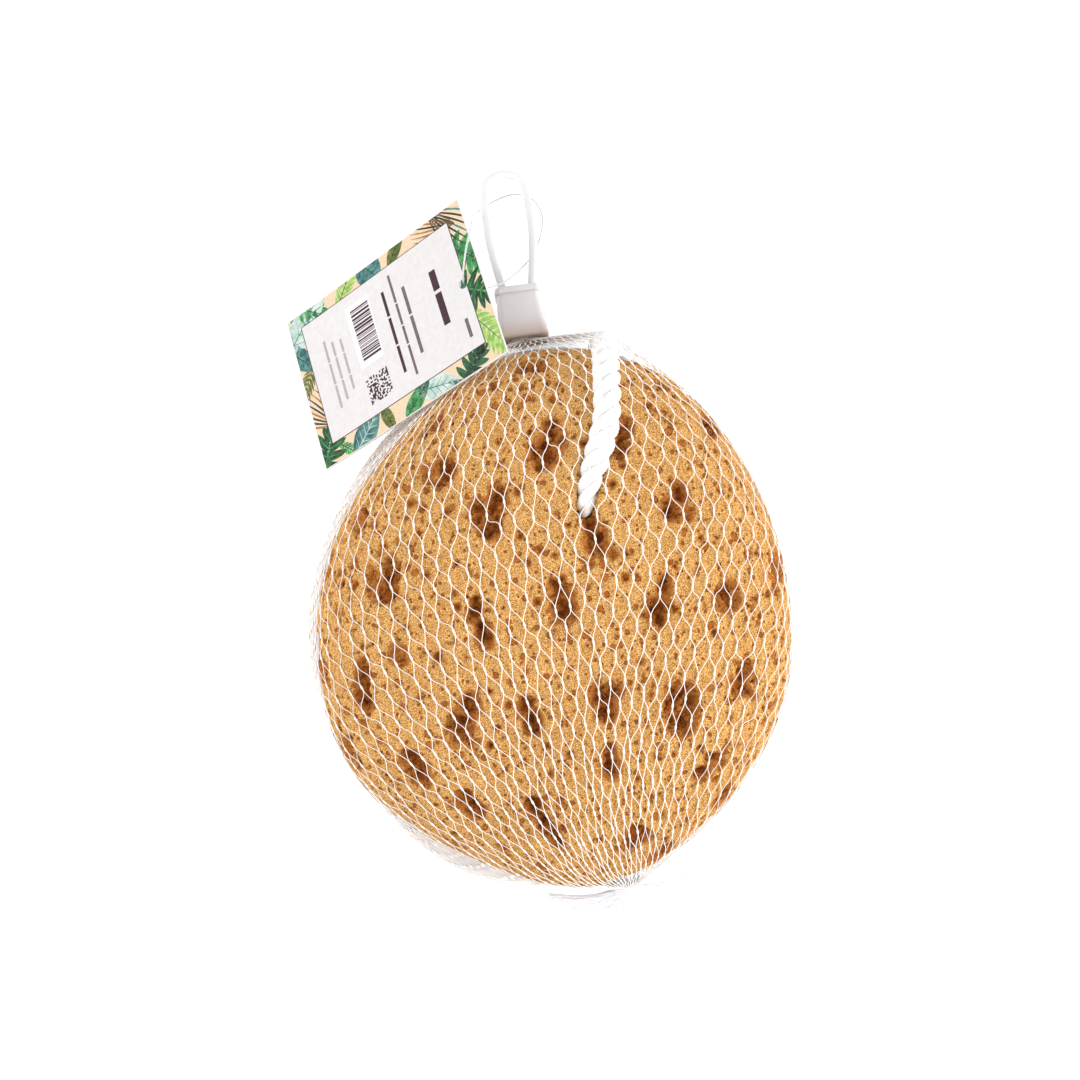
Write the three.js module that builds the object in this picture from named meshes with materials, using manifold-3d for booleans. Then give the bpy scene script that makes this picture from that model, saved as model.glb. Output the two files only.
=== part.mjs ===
// A round bath sponge of sea-sponge foam with a white backing pad and a rope loop, packed in a net bag.
// The bag is gathered into a moulded hanger at its neck, and a card tag hangs on the hanger by a thread.
// Millimetres, +Z up. The sponge lies on its backing, with the hanger towards +Y.

import * as THREE from 'three';
import { mergeVertices } from 'three/addons/utils/BufferGeometryUtils.js';
import Module from 'manifold-3d';

// ---- Driving dimensions ----

// Outlines in plan: distance from the sponge's centre every 30 degrees, anticlockwise from +X.
const FOAM_RADII = [75.5, 78.0, 85.0, 83.5, 74.4, 73.8, 76.4, 81.5, 82.3, 88.2, 82.6, 79.0];
const PAD_RADII = [77.0, 80.5, 89.0, 88.0, 81.0, 80.5, 82.0, 85.0, 88.5, 92.5, 86.5, 81.0];

// Each pebble swells to its outline at its widest level, and is cut flat at its top and bottom.
const FOAM = {
  radii: FOAM_RADII, widestZ: 29, above: 37, below: 26, roundness: 2.8, bottomZ: 15.8, topZ: 66,
};
const PAD = {
  radii: PAD_RADII, widestZ: 9, above: 10.5, below: 10.5, roundness: 3, bottomZ: 0.9, topZ: 15.5,
};
// Levels of the rings up each pebble, as shares of its height above or below its widest level.
const FOAM_LEVELS = [-0.36, -0.2, 0, 0.2, 0.38, 0.54, 0.67, 0.78, 0.87, 0.935, 0.98];
const PAD_LEVELS = [-0.62, -0.4, -0.15, 0.15, 0.4];
const PEBBLE_SEGMENTS = 36;

const ROPE_RADIUS = 4.4;
const ROPE_CLEARANCE = 0.5;
const ROPE_SIDES = 10;
const ROPE_STEPS = 50;
// Centreline of the hanging loop: out of the hole, over the front and the top edge, and back beneath the pad.
const ROPE_ROUTE = [
  [15.0, 30.0, 34.0], [15.1, 30.2, 43.0], [15.8, 32.6, 51.6], [18.2, 38.8, 57.4], [22.6, 47.6, 60.4],
  [26.2, 55.6, 60.0], [28.0, 63.0, 58.0], [29.2, 70.4, 53.8], [30.4, 77.4, 46.6], [31.2, 81.4, 37.6],
  [31.4, 83.0, 28.0], [31.4, 84.2, 18.5], [31.2, 83.2, 10.6], [30.2, 77.0, 6.0], [28.0, 67.0, 5.4],
  [24.5, 56.0, 5.4], [20.5, 45.5, 6.6], [17.0, 37.0, 11.0], [15.3, 31.8, 18.5], [15.0, 30.0, 26.0],
  [15.0, 30.0, 33.2],
];
const ROPE_HOLE_JOIN = { centre: [15.0, 30.0, 33.6], length: 6 }; // where the two ends meet in the hole

const NET_GAP = 0.4; // from the sponge and the rope to the inside of the net
const NET_THICKNESS = 0.5;
const RING_SEGMENTS = 24;
// The tie at the bag's foot, and where the sponge's end lets the bag narrow towards it.
const WAIST_ROOT = { centre: [9.0, -86.0, 23.0], halfWidth: 9, halfHeight: 7 };
const WAIST = { centre: [9.0, -93.3, 22.0], halfWidth: 3.6, halfHeight: 3.2 };
const TAIL = { centre: [6.0, -104.5, 8.0], halfWidth: 21, halfHeight: 5, waves: 5, waveDepth: 1.6 };
const TAIL_MIDDLE = { share: 0.45, halfWidth: 10.5, halfHeight: 4 }; // share of the way from tie to frill

const HANGER = { foot: [6.5, 89.2, 21.6], yaw: 2.6, pitch: 18 }; // degrees right of +Y, and downwards
const BLOCK = { length: 17.5, footWidth: 16.6, footDepth: 9.6, headWidth: 14.4, headDepth: 8.4, corner: 2.4 };
const BLOCK_FOOT_EASE = { inwards: 0.5, along: 0.8 };
const BLOCK_SEGMENTS = 28;
const LIP = { length: 2.4, width: 15.6, depth: 9.4, corner: 2.2 };
const SOCKET = { depth: 12, above: 1, halfWidth: 5.8, halfDepth: 3.1, segments: 24 };
// The bag's neck at places along the hanger: [distance, half width, half depth].
const NECK = [[-9, 15, 8], [-4.5, 10, 5.5], [-0.5, 5.4, 2.7], [11, 5.4, 2.7]];
const EYE = { length: 47.7, bar: 2.7, footBar: 1.6, thickness: 2.4, sunk: 1.5 };
// Half widths of the eye's outside at points along it: [share of length, half width].
const EYE_SIDE = [[0, 5.8], [0.2, 7.3], [0.42, 8.6], [0.62, 8.9], [0.8, 8.5]];
// Beside the top: share of the last half width, and distance below the top.
const EYE_SHOULDER = { share: 0.66, drop: 2.1 };
const EDGE_EASE = 0.5; // bevel round the lip and the eye

const CARD = { length: 78.7, width: 57.8, thickness: 0.5, corner: 1.0 };
const CARD_CORNER = [-72.1, 111.9, 0.8]; // lowest corner, on the surface that the sponge lies on
const CARD_ALONG = [0.83, 0.299, 0.471];
const CARD_ACROSS = [0.128, -0.924, 0.361];
const CARD_HOLE = { along: 71.2, across: 28.2, radius: 1.6 };

const THREAD_RADIUS = 0.3;
const THREAD_SIDES = 8;
const THREAD_STEPS = 48;
// Centreline of the thread: up through the card's hole, round the hanger's eye and back beneath the card.
const THREAD_ROUTE = [
  [-9.0, 107.1, 41.6], [-9.4, 107.4, 44.5], [-9.0, 110.0, 47.4], [-7.0, 116.5, 48.2], [-4.4, 123.6, 46.0],
  [-2.6, 129.6, 37.0], [-1.6, 133.6, 20.0], [-2.6, 136.2, 6.2], [0.6, 139.2, 2.0], [7.6, 141.8, 1.2],
  [12.4, 142.2, 1.0], [16.8, 140.6, 1.0], [19.6, 136.6, 1.4], [20.2, 131.2, 2.4], [18.2, 125.6, 4.0],
  [15.6, 120.8, 6.4], [11.6, 116.2, 10.8], [7.0, 112.2, 16.6], [2.6, 109.4, 21.0], [-1.7, 107.8, 27.0],
  [-5.8, 106.6, 34.0], [-8.3, 106.2, 40.2],
];

const COLOURS = {
  foam: 0xd9a45c,
  pad: 0xf3f3f5,
  cotton: 0xf7f6f2,
  net: 0xfbfbfb,
  plastic: 0xf4f4f6,
  card: 0xece4df,
  thread: 0xe9edf0,
};

// ---- Joining and cutting ----

const wasm = await Module();
wasm.setup();

function toSolid(geometry) {
  const bare = geometry.clone();
  bare.deleteAttribute('normal');
  bare.deleteAttribute('uv');
  const merged = mergeVertices(bare, 1e-4);
  const mesh = new wasm.Mesh({
    numProp: 3,
    vertProperties: new Float32Array(merged.attributes.position.array),
    triVerts: new Uint32Array(merged.index.array),
  });
  return new wasm.Manifold(mesh);
}

function toGeometry(solid) {
  const mesh = solid.getMesh();
  const geometry = new THREE.BufferGeometry();
  geometry.setAttribute('position', new THREE.BufferAttribute(mesh.vertProperties, 3));
  geometry.setIndex(new THREE.BufferAttribute(mesh.triVerts, 1));
  geometry.computeVertexNormals();
  return geometry;
}

// ---- Shape helpers ----

const vector = (point) => new THREE.Vector3(...point);

// A closed Catmull-Rom curve through values spaced evenly round a circle.
function valueAt(values, angle) {
  const count = values.length;
  const place = ((angle / (2 * Math.PI)) * count + count) % count;
  const i = Math.floor(place);
  const t = place - i;
  const [a, b, c, d] = [-1, 0, 1, 2].map((step) => values[(i + step + count) % count]);
  return 0.5 * (2 * b + (c - a) * t + (2 * a - 5 * b + 4 * c - d) * t * t + (3 * b - a - 3 * c + d) * t ** 3);
}

// The same pebble with its whole surface moved outwards.
function grown(pebble, by) {
  return {
    ...pebble,
    radii: pebble.radii.map((radius) => radius + by),
    above: pebble.above + by,
    below: pebble.below + by,
    bottomZ: pebble.bottomZ - by,
    topZ: pebble.topZ + by,
  };
}

// A closed surface through rings of equal length, with a point at each end.
function loft(rings, startPoint, endPoint) {
  const count = rings[0].length;
  const points = [startPoint, ...rings.flat(), endPoint];
  const last = points.length - 1;
  const at = (ring, i) => 1 + ring * count + (i % count);
  const faces = [];
  for (let i = 0; i < count; i++) {
    faces.push(0, at(0, i + 1), at(0, i));
    faces.push(last, at(rings.length - 1, i), at(rings.length - 1, i + 1));
  }
  for (let ring = 0; ring < rings.length - 1; ring++) {
    for (let i = 0; i < count; i++) {
      faces.push(at(ring, i), at(ring, i + 1), at(ring + 1, i));
      faces.push(at(ring, i + 1), at(ring + 1, i + 1), at(ring + 1, i));
    }
  }
  const geometry = new THREE.BufferGeometry();
  geometry.setAttribute('position', new THREE.Float32BufferAttribute(points.flatMap((p) => p.toArray()), 3));
  geometry.setIndex(faces);
  geometry.computeVertexNormals();
  return geometry;
}

// A tube of round section along a smooth curve through the points.
function tube(route, radius, sides, steps) {
  const section = new THREE.Shape();
  for (let i = 0; i < sides; i++) {
    const angle = (2 * Math.PI * i) / sides;
    const [x, y] = [radius * Math.cos(angle), radius * Math.sin(angle)];
    if (i === 0) {
      section.moveTo(x, y);
    } else {
      section.lineTo(x, y);
    }
  }
  section.closePath();
  const path = new THREE.CatmullRomCurve3(route.map(vector), false, 'centripetal');
  return new THREE.ExtrudeGeometry(section, { steps, bevelEnabled: false, extrudePath: path });
}

function roundedRectangle(width, height, corner) {
  const [x, y] = [width / 2, height / 2];
  const shape = new THREE.Shape();
  shape.moveTo(-x + corner, -y);
  shape.lineTo(x - corner, -y);
  shape.absarc(x - corner, -y + corner, corner, -Math.PI / 2, 0);
  shape.lineTo(x, y - corner);
  shape.absarc(x - corner, y - corner, corner, 0, Math.PI / 2);
  shape.lineTo(-x + corner, y);
  shape.absarc(-x + corner, y - corner, corner, Math.PI / 2, Math.PI);
  shape.lineTo(-x, -y + corner);
  shape.absarc(-x + corner, -y + corner, corner, Math.PI, 1.5 * Math.PI);
  return shape;
}

// ---- Sponge ----

// Horizontal rings up a pebble, from its flat underside to its top.
function pebbleGeometry(pebble, levels) {
  const half = (z) => (z > pebble.widestZ ? pebble.above : pebble.below);
  const heights = levels.map((level) => pebble.widestZ + level * (level > 0 ? pebble.above : pebble.below));
  const topRing = pebble.topZ < pebble.widestZ + pebble.above ? [pebble.topZ] : [];
  const rings = [pebble.bottomZ, ...heights, ...topRing].map((z) => {
    const rise = Math.abs(z - pebble.widestZ) / half(z);
    const share = (1 - rise ** pebble.roundness) ** (1 / pebble.roundness);
    return Array.from({ length: PEBBLE_SEGMENTS }, (_, i) => {
      const angle = (2 * Math.PI * i) / PEBBLE_SEGMENTS;
      const radius = valueAt(pebble.radii, angle) * share;
      return new THREE.Vector3(radius * Math.cos(angle), radius * Math.sin(angle), z);
    });
  });
  return loft(rings, new THREE.Vector3(0, 0, pebble.bottomZ), new THREE.Vector3(0, 0, pebble.topZ));
}

const foamSolid = (by) => toSolid(pebbleGeometry(grown(FOAM, by), FOAM_LEVELS));
const padSolid = (by) => toSolid(pebbleGeometry(grown(PAD, by), PAD_LEVELS));
const ropeGeometry = (by) => tube(ROPE_ROUTE, ROPE_RADIUS + by, ROPE_SIDES, ROPE_STEPS);

// The passage that the rope presses and is threaded through.
function ropePassage() {
  const radius = ROPE_RADIUS + ROPE_CLEARANCE;
  const join = new THREE.CylinderGeometry(radius, radius, ROPE_HOLE_JOIN.length, ROPE_SIDES);
  join.rotateX(Math.PI / 2);
  join.translate(...ROPE_HOLE_JOIN.centre);
  return toSolid(ropeGeometry(ROPE_CLEARANCE)).add(toSolid(join));
}

const passage = ropePassage();
const foamGeometry = () => toGeometry(foamSolid(0).subtract(passage));
const padGeometry = () => toGeometry(padSolid(0).subtract(passage));

// ---- Net bag ----

// An oval ring across a direction, with side and up as its own axes.
function ovalRing(centre, side, up, halfWidth, halfHeight) {
  return Array.from({ length: RING_SEGMENTS }, (_, i) => {
    const around = (2 * Math.PI * i) / RING_SEGMENTS;
    return centre.clone()
      .addScaledVector(side, halfWidth * Math.cos(around))
      .addScaledVector(up, halfHeight * Math.sin(around));
  });
}

function hangerFrame() {
  const yaw = THREE.MathUtils.degToRad(HANGER.yaw);
  const pitch = THREE.MathUtils.degToRad(HANGER.pitch);
  const along = new THREE.Vector3(
    Math.sin(yaw) * Math.cos(pitch), Math.cos(yaw) * Math.cos(pitch), -Math.sin(pitch));
  const side = new THREE.Vector3(Math.cos(yaw), -Math.sin(yaw), 0);
  return { along, side, up: side.clone().cross(along), foot: vector(HANGER.foot) };
}

const hanger = hangerFrame();

// The bag's neck: from inside the sponge's end, through its drawn-in mouth, into the hanger's socket.
function neckSolid(by) {
  const centres = NECK.map(([distance]) => hanger.foot.clone().addScaledVector(hanger.along, distance));
  const rings = NECK.map(([, halfWidth, halfDepth], i) => (
    ovalRing(centres[i], hanger.side, hanger.up, halfWidth + by, halfDepth + by)));
  return toSolid(loft(rings.reverse(), centres.at(-1), centres[0]));
}

// The loose end of the bag beyond its tie: a small frill that falls to the surface.
function tailSolid() {
  const [side, up] = [new THREE.Vector3(1, 0, 0), new THREE.Vector3(0, 0, 1)];
  const [root, waist, end] = [WAIST_ROOT, WAIST, TAIL].map((place) => vector(place.centre));
  const between = waist.clone().lerp(end, TAIL_MIDDLE.share);
  const frill = ovalRing(end, side, up, TAIL.halfWidth, TAIL.halfHeight);
  frill.forEach((point, i) => {
    point.y += TAIL.waveDepth * Math.cos((2 * Math.PI * TAIL.waves * i) / RING_SEGMENTS);
  });
  const rings = [
    ovalRing(root, side, up, WAIST_ROOT.halfWidth, WAIST_ROOT.halfHeight),
    ovalRing(waist, side, up, WAIST.halfWidth, WAIST.halfHeight),
    ovalRing(between, side, up, TAIL_MIDDLE.halfWidth, TAIL_MIDDLE.halfHeight),
    frill,
  ];
  return toSolid(loft(rings, root, end));
}

function netGeometry() {
  const wrapped = (by) => foamSolid(by).add(padSolid(by)).add(toSolid(ropeGeometry(by)));
  const outside = wrapped(NET_GAP + NET_THICKNESS).add(neckSolid(0)).add(tailSolid());
  return toGeometry(outside.subtract(wrapped(NET_GAP)).subtract(neckSolid(-NET_THICKNESS)));
}

// ---- Hanger ----

// Lays a shape drawn in the hanger's own axes (x to its side, y along it, z up) where the hanger is.
function placeOnHanger(geometry) {
  const matrix = new THREE.Matrix4().makeBasis(hanger.side, hanger.along, hanger.up);
  matrix.setPosition(hanger.foot);
  return geometry.applyMatrix4(matrix);
}

function blockGeometry() {
  const section = (width, depth, along) => roundedRectangle(width, depth, BLOCK.corner)
    .getSpacedPoints(BLOCK_SEGMENTS).slice(0, BLOCK_SEGMENTS)
    .map((p) => new THREE.Vector3(p.x, along, p.y));
  const eased = 2 * BLOCK_FOOT_EASE.inwards;
  const rings = [
    section(BLOCK.footWidth - eased, BLOCK.footDepth - eased, 0),
    section(BLOCK.footWidth, BLOCK.footDepth, BLOCK_FOOT_EASE.along),
    section(BLOCK.headWidth, BLOCK.headDepth, BLOCK.length),
  ].reverse();
  return loft(rings, new THREE.Vector3(0, BLOCK.length, 0), new THREE.Vector3(0, 0, 0));
}

// A flat plate of the given shape and thickness with a small bevel round its edges.
function easedPlate(shape, thickness, curveSegments) {
  return new THREE.ExtrudeGeometry(shape, {
    depth: thickness - 2 * EDGE_EASE,
    bevelThickness: EDGE_EASE,
    bevelSize: EDGE_EASE,
    bevelOffset: -EDGE_EASE,
    bevelSegments: 1,
    curveSegments,
    steps: 1,
  });
}

function lipGeometry() {
  const shape = roundedRectangle(LIP.width, LIP.depth, LIP.corner);
  const lip = easedPlate(shape, LIP.length, 3);
  lip.rotateX(-Math.PI / 2);
  return lip.translate(0, BLOCK.length + EDGE_EASE - LIP.length / 2, 0);
}

// The eye is a long flat ring that narrows to where it joins the lip.
function eyeGeometry() {
  const outline = (inset, base) => {
    const side = EYE_SIDE.map(([share, half]) => [half - inset, base + share * (EYE.length - inset - base)]);
    const right = side.map(([x, y]) => new THREE.Vector2(x, y));
    const left = side.map(([x, y]) => new THREE.Vector2(-x, y)).reverse();
    const top = new THREE.Vector2(0, EYE.length - inset);
    const shoulder = new THREE.Vector2(side.at(-1)[0] * EYE_SHOULDER.share, top.y - EYE_SHOULDER.drop);
    return [...right, shoulder, top, new THREE.Vector2(-shoulder.x, shoulder.y), ...left];
  };
  const trace = (path, points) => {
    path.moveTo(points[0].x, points[0].y);
    path.splineThru(points.slice(1));
    path.lineTo(points[0].x, points[0].y);
    return path;
  };
  const shape = trace(new THREE.Shape(), outline(0, 0));
  shape.holes.push(trace(new THREE.Path(), outline(EYE.bar, EYE.footBar)));
  const eye = easedPlate(shape, EYE.thickness, 4);
  return eye.translate(0, BLOCK.length + LIP.length / 2 - EYE.sunk, EDGE_EASE - EYE.thickness / 2);
}

function socketCutter() {
  const socket = new THREE.CylinderGeometry(1, 1, SOCKET.depth + SOCKET.above, SOCKET.segments);
  socket.scale(SOCKET.halfWidth, 1, SOCKET.halfDepth);
  return socket.translate(0, (SOCKET.depth - SOCKET.above) / 2, 0);
}

function hangerGeometry() {
  const whole = toSolid(blockGeometry())
    .subtract(toSolid(socketCutter()))
    .add(toSolid(lipGeometry()))
    .add(toSolid(eyeGeometry()));
  return placeOnHanger(toGeometry(whole));
}

// ---- Tag ----

function cardGeometry() {
  const shape = roundedRectangle(CARD.length, CARD.width, CARD.corner);
  const hole = new THREE.Path();
  const [x, y] = [CARD_HOLE.along - CARD.length / 2, CARD_HOLE.across - CARD.width / 2];
  hole.absarc(x, y, CARD_HOLE.radius, 0, 2 * Math.PI);
  shape.holes.push(hole);
  const plate = { depth: CARD.thickness, bevelEnabled: false, curveSegments: 4 };
  const card = new THREE.ExtrudeGeometry(shape, plate);
  card.translate(CARD.length / 2, CARD.width / 2, -CARD.thickness / 2);
  const along = vector(CARD_ALONG).normalize();
  const face = along.clone().cross(vector(CARD_ACROSS)).normalize();
  const matrix = new THREE.Matrix4().makeBasis(along, face.clone().cross(along), face);
  matrix.setPosition(vector(CARD_CORNER));
  return card.applyMatrix4(matrix);
}

// ---- Assembly ----

function piece(name, geometry, color, roughness) {
  const mesh = new THREE.Mesh(geometry, new THREE.MeshStandardMaterial({ color, roughness, metalness: 0 }));
  mesh.name = name;
  return mesh;
}

const assembly = new THREE.Group();
assembly.add(
  piece('foam_sponge', foamGeometry(), COLOURS.foam, 0.95),
  piece('backing_pad', padGeometry(), COLOURS.pad, 0.9),
  piece('rope_loop', ropeGeometry(0), COLOURS.cotton, 0.95),
  piece('net_bag', netGeometry(), COLOURS.net, 0.6),
  piece('hanger', hangerGeometry(), COLOURS.plastic, 0.4),
  piece('tag_card', cardGeometry(), COLOURS.card, 0.5),
);

// The origin is under the middle of everything but the thread.
const extent = new THREE.Box3().setFromObject(assembly);
const middle = extent.getCenter(new THREE.Vector3());
const thread = tube(THREAD_ROUTE, THREAD_RADIUS, THREAD_SIDES, THREAD_STEPS);
assembly.add(piece('tag_thread', thread, COLOURS.thread, 0.3));
assembly.position.set(-middle.x, -middle.y, -extent.min.z);

const part = new THREE.Group();
part.add(assembly);

export default part;
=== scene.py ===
# A round bath sponge of sea-sponge foam with a white backing and a rope loop, in a net bag with a hanger and a tag.
# Metres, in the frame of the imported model. Tables of points are in millimetres from the sponge's centre.

import math

import bmesh
import bpy
import numpy as np
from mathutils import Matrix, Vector, noise


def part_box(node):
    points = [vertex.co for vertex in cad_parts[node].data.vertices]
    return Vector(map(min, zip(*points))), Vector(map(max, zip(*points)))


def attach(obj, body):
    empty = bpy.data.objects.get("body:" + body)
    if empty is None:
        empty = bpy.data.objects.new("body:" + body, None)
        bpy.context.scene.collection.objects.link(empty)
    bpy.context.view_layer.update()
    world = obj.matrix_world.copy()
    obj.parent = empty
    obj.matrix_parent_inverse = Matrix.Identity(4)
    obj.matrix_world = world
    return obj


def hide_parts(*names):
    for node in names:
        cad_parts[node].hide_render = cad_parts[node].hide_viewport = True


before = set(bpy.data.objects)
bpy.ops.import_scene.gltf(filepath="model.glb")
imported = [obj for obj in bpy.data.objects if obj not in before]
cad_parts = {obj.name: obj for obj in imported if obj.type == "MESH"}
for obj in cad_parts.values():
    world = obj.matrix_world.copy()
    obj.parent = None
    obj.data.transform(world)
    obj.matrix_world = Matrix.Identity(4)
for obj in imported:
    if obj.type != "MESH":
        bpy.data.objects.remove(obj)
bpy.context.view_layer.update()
MM = 0.001
RNG = np.random.default_rng(7)

# ---- Measures, in millimetres and degrees. Some outlines are fuller or slimmer than the CAD model's. ----

# Pebbles: radii evenly round them from +X, the height of the widest level, and their reach above and below it.
FOAM = dict(radii=[75.5, 78.0, 85.0, 83.5, 74.4, 73.8, 76.4, 81.5, 82.3, 88.2, 82.6, 79.0],
            widest=29.0, above=37.0, below=26.0, roundness=2.8, bottom=15.8, top=66.0)
PAD = dict(radii=[77.0, 80.5, 88.6, 87.8, 80.5, 79.0, 82.6, 85.2, 92.3, 93.2, 89.3, 81.4],
           widest=9.0, above=10.5, below=10.5, roundness=3.0, bottom=0.9, top=15.5)
# The pad's outline in the CAD model, which places the sponge's centre in the frame.
CAD_PAD_RADII = [77.0, 80.5, 89.0, 88.0, 81.0, 80.5, 82.0, 85.0, 88.5, 92.5, 86.5, 81.0]

FOAM_MESH = dict(voxel=0.86, smoothing=2)
PAD_MESH = dict(voxel=1.7, smoothing=4)
ROPE_CHANNEL = dict(foam=(-0.35, 26.0), pad=(0.0, 12.0))  # gap round the rope, and how deep it may press
# Round pores: how many, least and largest radius, depth to radius, seed.
PORES = [(420, (0.85, 1.7), 1.2, 21), (900, (0.5, 0.9), 1.2, 22)]
PORE_SHARE = 0.9

ROPE_RADIUS = 4.4
ROPE_ROUTE = [
    (15.0, 30.0, 34.0), (15.0, 29.8, 50.0), (15.2, 30.6, 60.2), (18.0, 38.2, 62.8), (22.6, 47.6, 62.0),
    (26.2, 55.6, 60.4), (28.0, 63.0, 58.0), (29.2, 70.4, 53.8), (30.4, 77.4, 46.6), (31.2, 81.2, 37.6),
    (31.4, 82.6, 28.0), (31.4, 83.2, 18.5), (31.2, 82.2, 10.6), (30.2, 77.0, 6.0), (28.0, 67.0, 5.4),
    (24.5, 56.0, 5.4), (20.5, 45.5, 6.6), (17.0, 37.0, 11.0), (15.3, 31.8, 18.5), (15.0, 30.0, 26.0),
    (15.0, 30.0, 33.2),
]

THREAD_RADIUS = 0.3
THREAD_ROUTE = [
    (-9.0, 107.1, 41.6), (-9.4, 107.4, 44.5), (-9.0, 110.0, 47.4), (-7.0, 116.5, 48.2), (-4.4, 123.6, 46.0),
    (-2.6, 129.6, 37.0), (-1.6, 133.6, 20.0), (-2.6, 136.2, 6.2), (0.6, 139.2, 2.0), (7.6, 141.8, 1.2),
    (12.4, 142.2, 1.0), (16.8, 140.6, 1.0), (19.6, 136.6, 1.4), (20.2, 131.2, 2.4), (18.2, 125.6, 4.0),
    (15.6, 120.8, 6.4), (11.6, 116.2, 10.8), (7.0, 112.2, 16.6), (2.6, 109.4, 21.0), (-1.7, 107.8, 27.0),
    (-5.8, 106.6, 34.0), (-8.3, 106.2, 40.2),
]

# The net bag: joints on a lattice of half columns round the bag and half rows along it.
NET_HALF_COLUMNS = 150
NET_FIRST_ROW, NET_LAST_ROW = -18, 19
NET_TABLE_ROW = -17
# How far along the bag from its foot (0) to its neck (1) a joint is: every 4 half rows down, 8 places round.
# Below 0 it is in the loose end.
NET_ALONG = [
    [1.000, 1.000, 1.000, 1.000, 1.000, 1.000, 1.000, 1.000],
    [0.946, 0.960, 0.916, 0.874, 0.857, 0.829, 0.831, 0.887],
    [0.830, 0.854, 0.795, 0.734, 0.710, 0.666, 0.668, 0.748],
    [0.683, 0.717, 0.662, 0.596, 0.566, 0.516, 0.517, 0.599],
    [0.525, 0.568, 0.527, 0.463, 0.427, 0.375, 0.377, 0.450],
    [0.368, 0.416, 0.394, 0.336, 0.294, 0.244, 0.248, 0.307],
    [0.219, 0.267, 0.261, 0.212, 0.168, 0.125, 0.131, 0.174],
    [0.077, 0.120, 0.124, 0.077, 0.038, 0.002, 0.008, 0.042],
    [-0.075, -0.033, -0.018, -0.060, -0.095, -0.125, -0.118, -0.092],
    [-0.225, -0.183, -0.168, -0.205, -0.235, -0.265, -0.258, -0.235],
]
# How far round the bag it is pulled from its even place, as a share of the girth there.
NET_AROUND = [
    [-0.011, 0.013, 0.000, -0.002, 0.004, -0.004, 0.003, -0.010],
    [-0.027, 0.014, 0.018, 0.013, -0.001, -0.031, -0.034, -0.040],
    [-0.031, 0.007, 0.016, 0.016, 0.000, -0.033, -0.036, -0.040],
    [-0.028, -0.008, 0.000, 0.010, 0.006, -0.019, -0.018, -0.024],
    [-0.023, -0.027, -0.024, -0.002, 0.010, 0.000, 0.007, -0.003],
    [-0.021, -0.046, -0.049, -0.016, 0.011, 0.016, 0.027, 0.014],
    [-0.021, -0.063, -0.068, -0.030, 0.006, 0.022, 0.033, 0.024],
    [-0.018, -0.066, -0.066, -0.030, 0.000, 0.012, 0.020, 0.031],
    [-0.006, -0.040, -0.030, -0.010, -0.002, 0.003, 0.004, 0.024],
    [0.000, 0.000, 0.000, 0.000, 0.000, 0.000, 0.000, 0.000],
]
NET_WANDER = (0.0010, 0.0024)  # how far joints stray round and along the bag, as shares of it
NET_OFFSET = 0.7  # from the sponge to the strands' middle
STRAND_RADIUS = 0.118
JOINT_LENGTH = 2.15
JOINT_RADIUS = 0.38
JOINT_PROFILE = [(-1.0, 0.34), (-0.55, 0.8), (0.0, 1.0), (0.55, 0.8), (1.0, 0.34)]  # place along, share of radius
FULL_SIZE_GIRTH = 1.1  # joints closer together than this are drawn smaller
STRAND_OVERLAP = 0.4  # how far into a joint its strands run
NET_SIDES = 4
LOOSE_END_STRANDS = 2.2  # how much thicker strands look in the bunched end
NECK = dict(centre=(6.5, 89.2, 21.6), half_width=5.2, half_height=2.6)
WAIST = dict(centre=(9.1, -94.8, 17.0), half_width=3.6, half_height=3.2)
TAIL = dict(centre=(6.0, -104.0, 7.5), half_width=25.0, half_height=5.0, waves=5, wave_depth=1.4, hug=8.5)
TAIL_LENGTH = 21.0
NECK_DEPTH, NECK_DRAWN = 6.0, 0.8  # how far the neck goes into the hanger's socket, and how far it draws in
TIE = dict(turns=4, pitch=0.8, radius=0.42, gap=0.25)

HANGER = dict(foot=(6.5, 89.2, 21.6), yaw=2.6, pitch=18.0)
BLOCK = dict(length=17.5, foot_width=16.6, foot_depth=9.6, head_width=14.4, head_depth=8.4, corner=2.4)
LIP = dict(length=2.4, width=15.6, depth=9.4, corner=2.2)
SOCKET = dict(depth=12.0, half_width=5.8, half_depth=3.1)
EYE = dict(length=47.7, bar=2.7, thickness=2.4, sunk=1.5, squareness=0.65)
EYE_SIDE = [(0.0, 5.8), (0.2, 7.3), (0.42, 8.6), (0.62, 8.9), (0.8, 8.5)]
EYE_SHOULDER = dict(share=0.66, drop=2.1)

CARD = dict(length=78.7, width=57.8, thickness=0.5)
CARD_CURL = dict(reach=18.0, rise=0.5)
CARD_CORNER = (-72.1, 111.9, 0.8)
CARD_ALONG = (0.83, 0.299, 0.471)
CARD_ACROSS = (0.128, -0.924, 0.361)
CARD_HOLE = dict(along=71.2, across=28.2, radius=1.6)
PRINT_LIFT, PRINT_LAYER = 0.03, 0.018
PRINT_INSET = 0.3
CARD_PANEL = dict(along=(5.2, 72.5), across=(5.0, 50.8), line=0.28)

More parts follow.
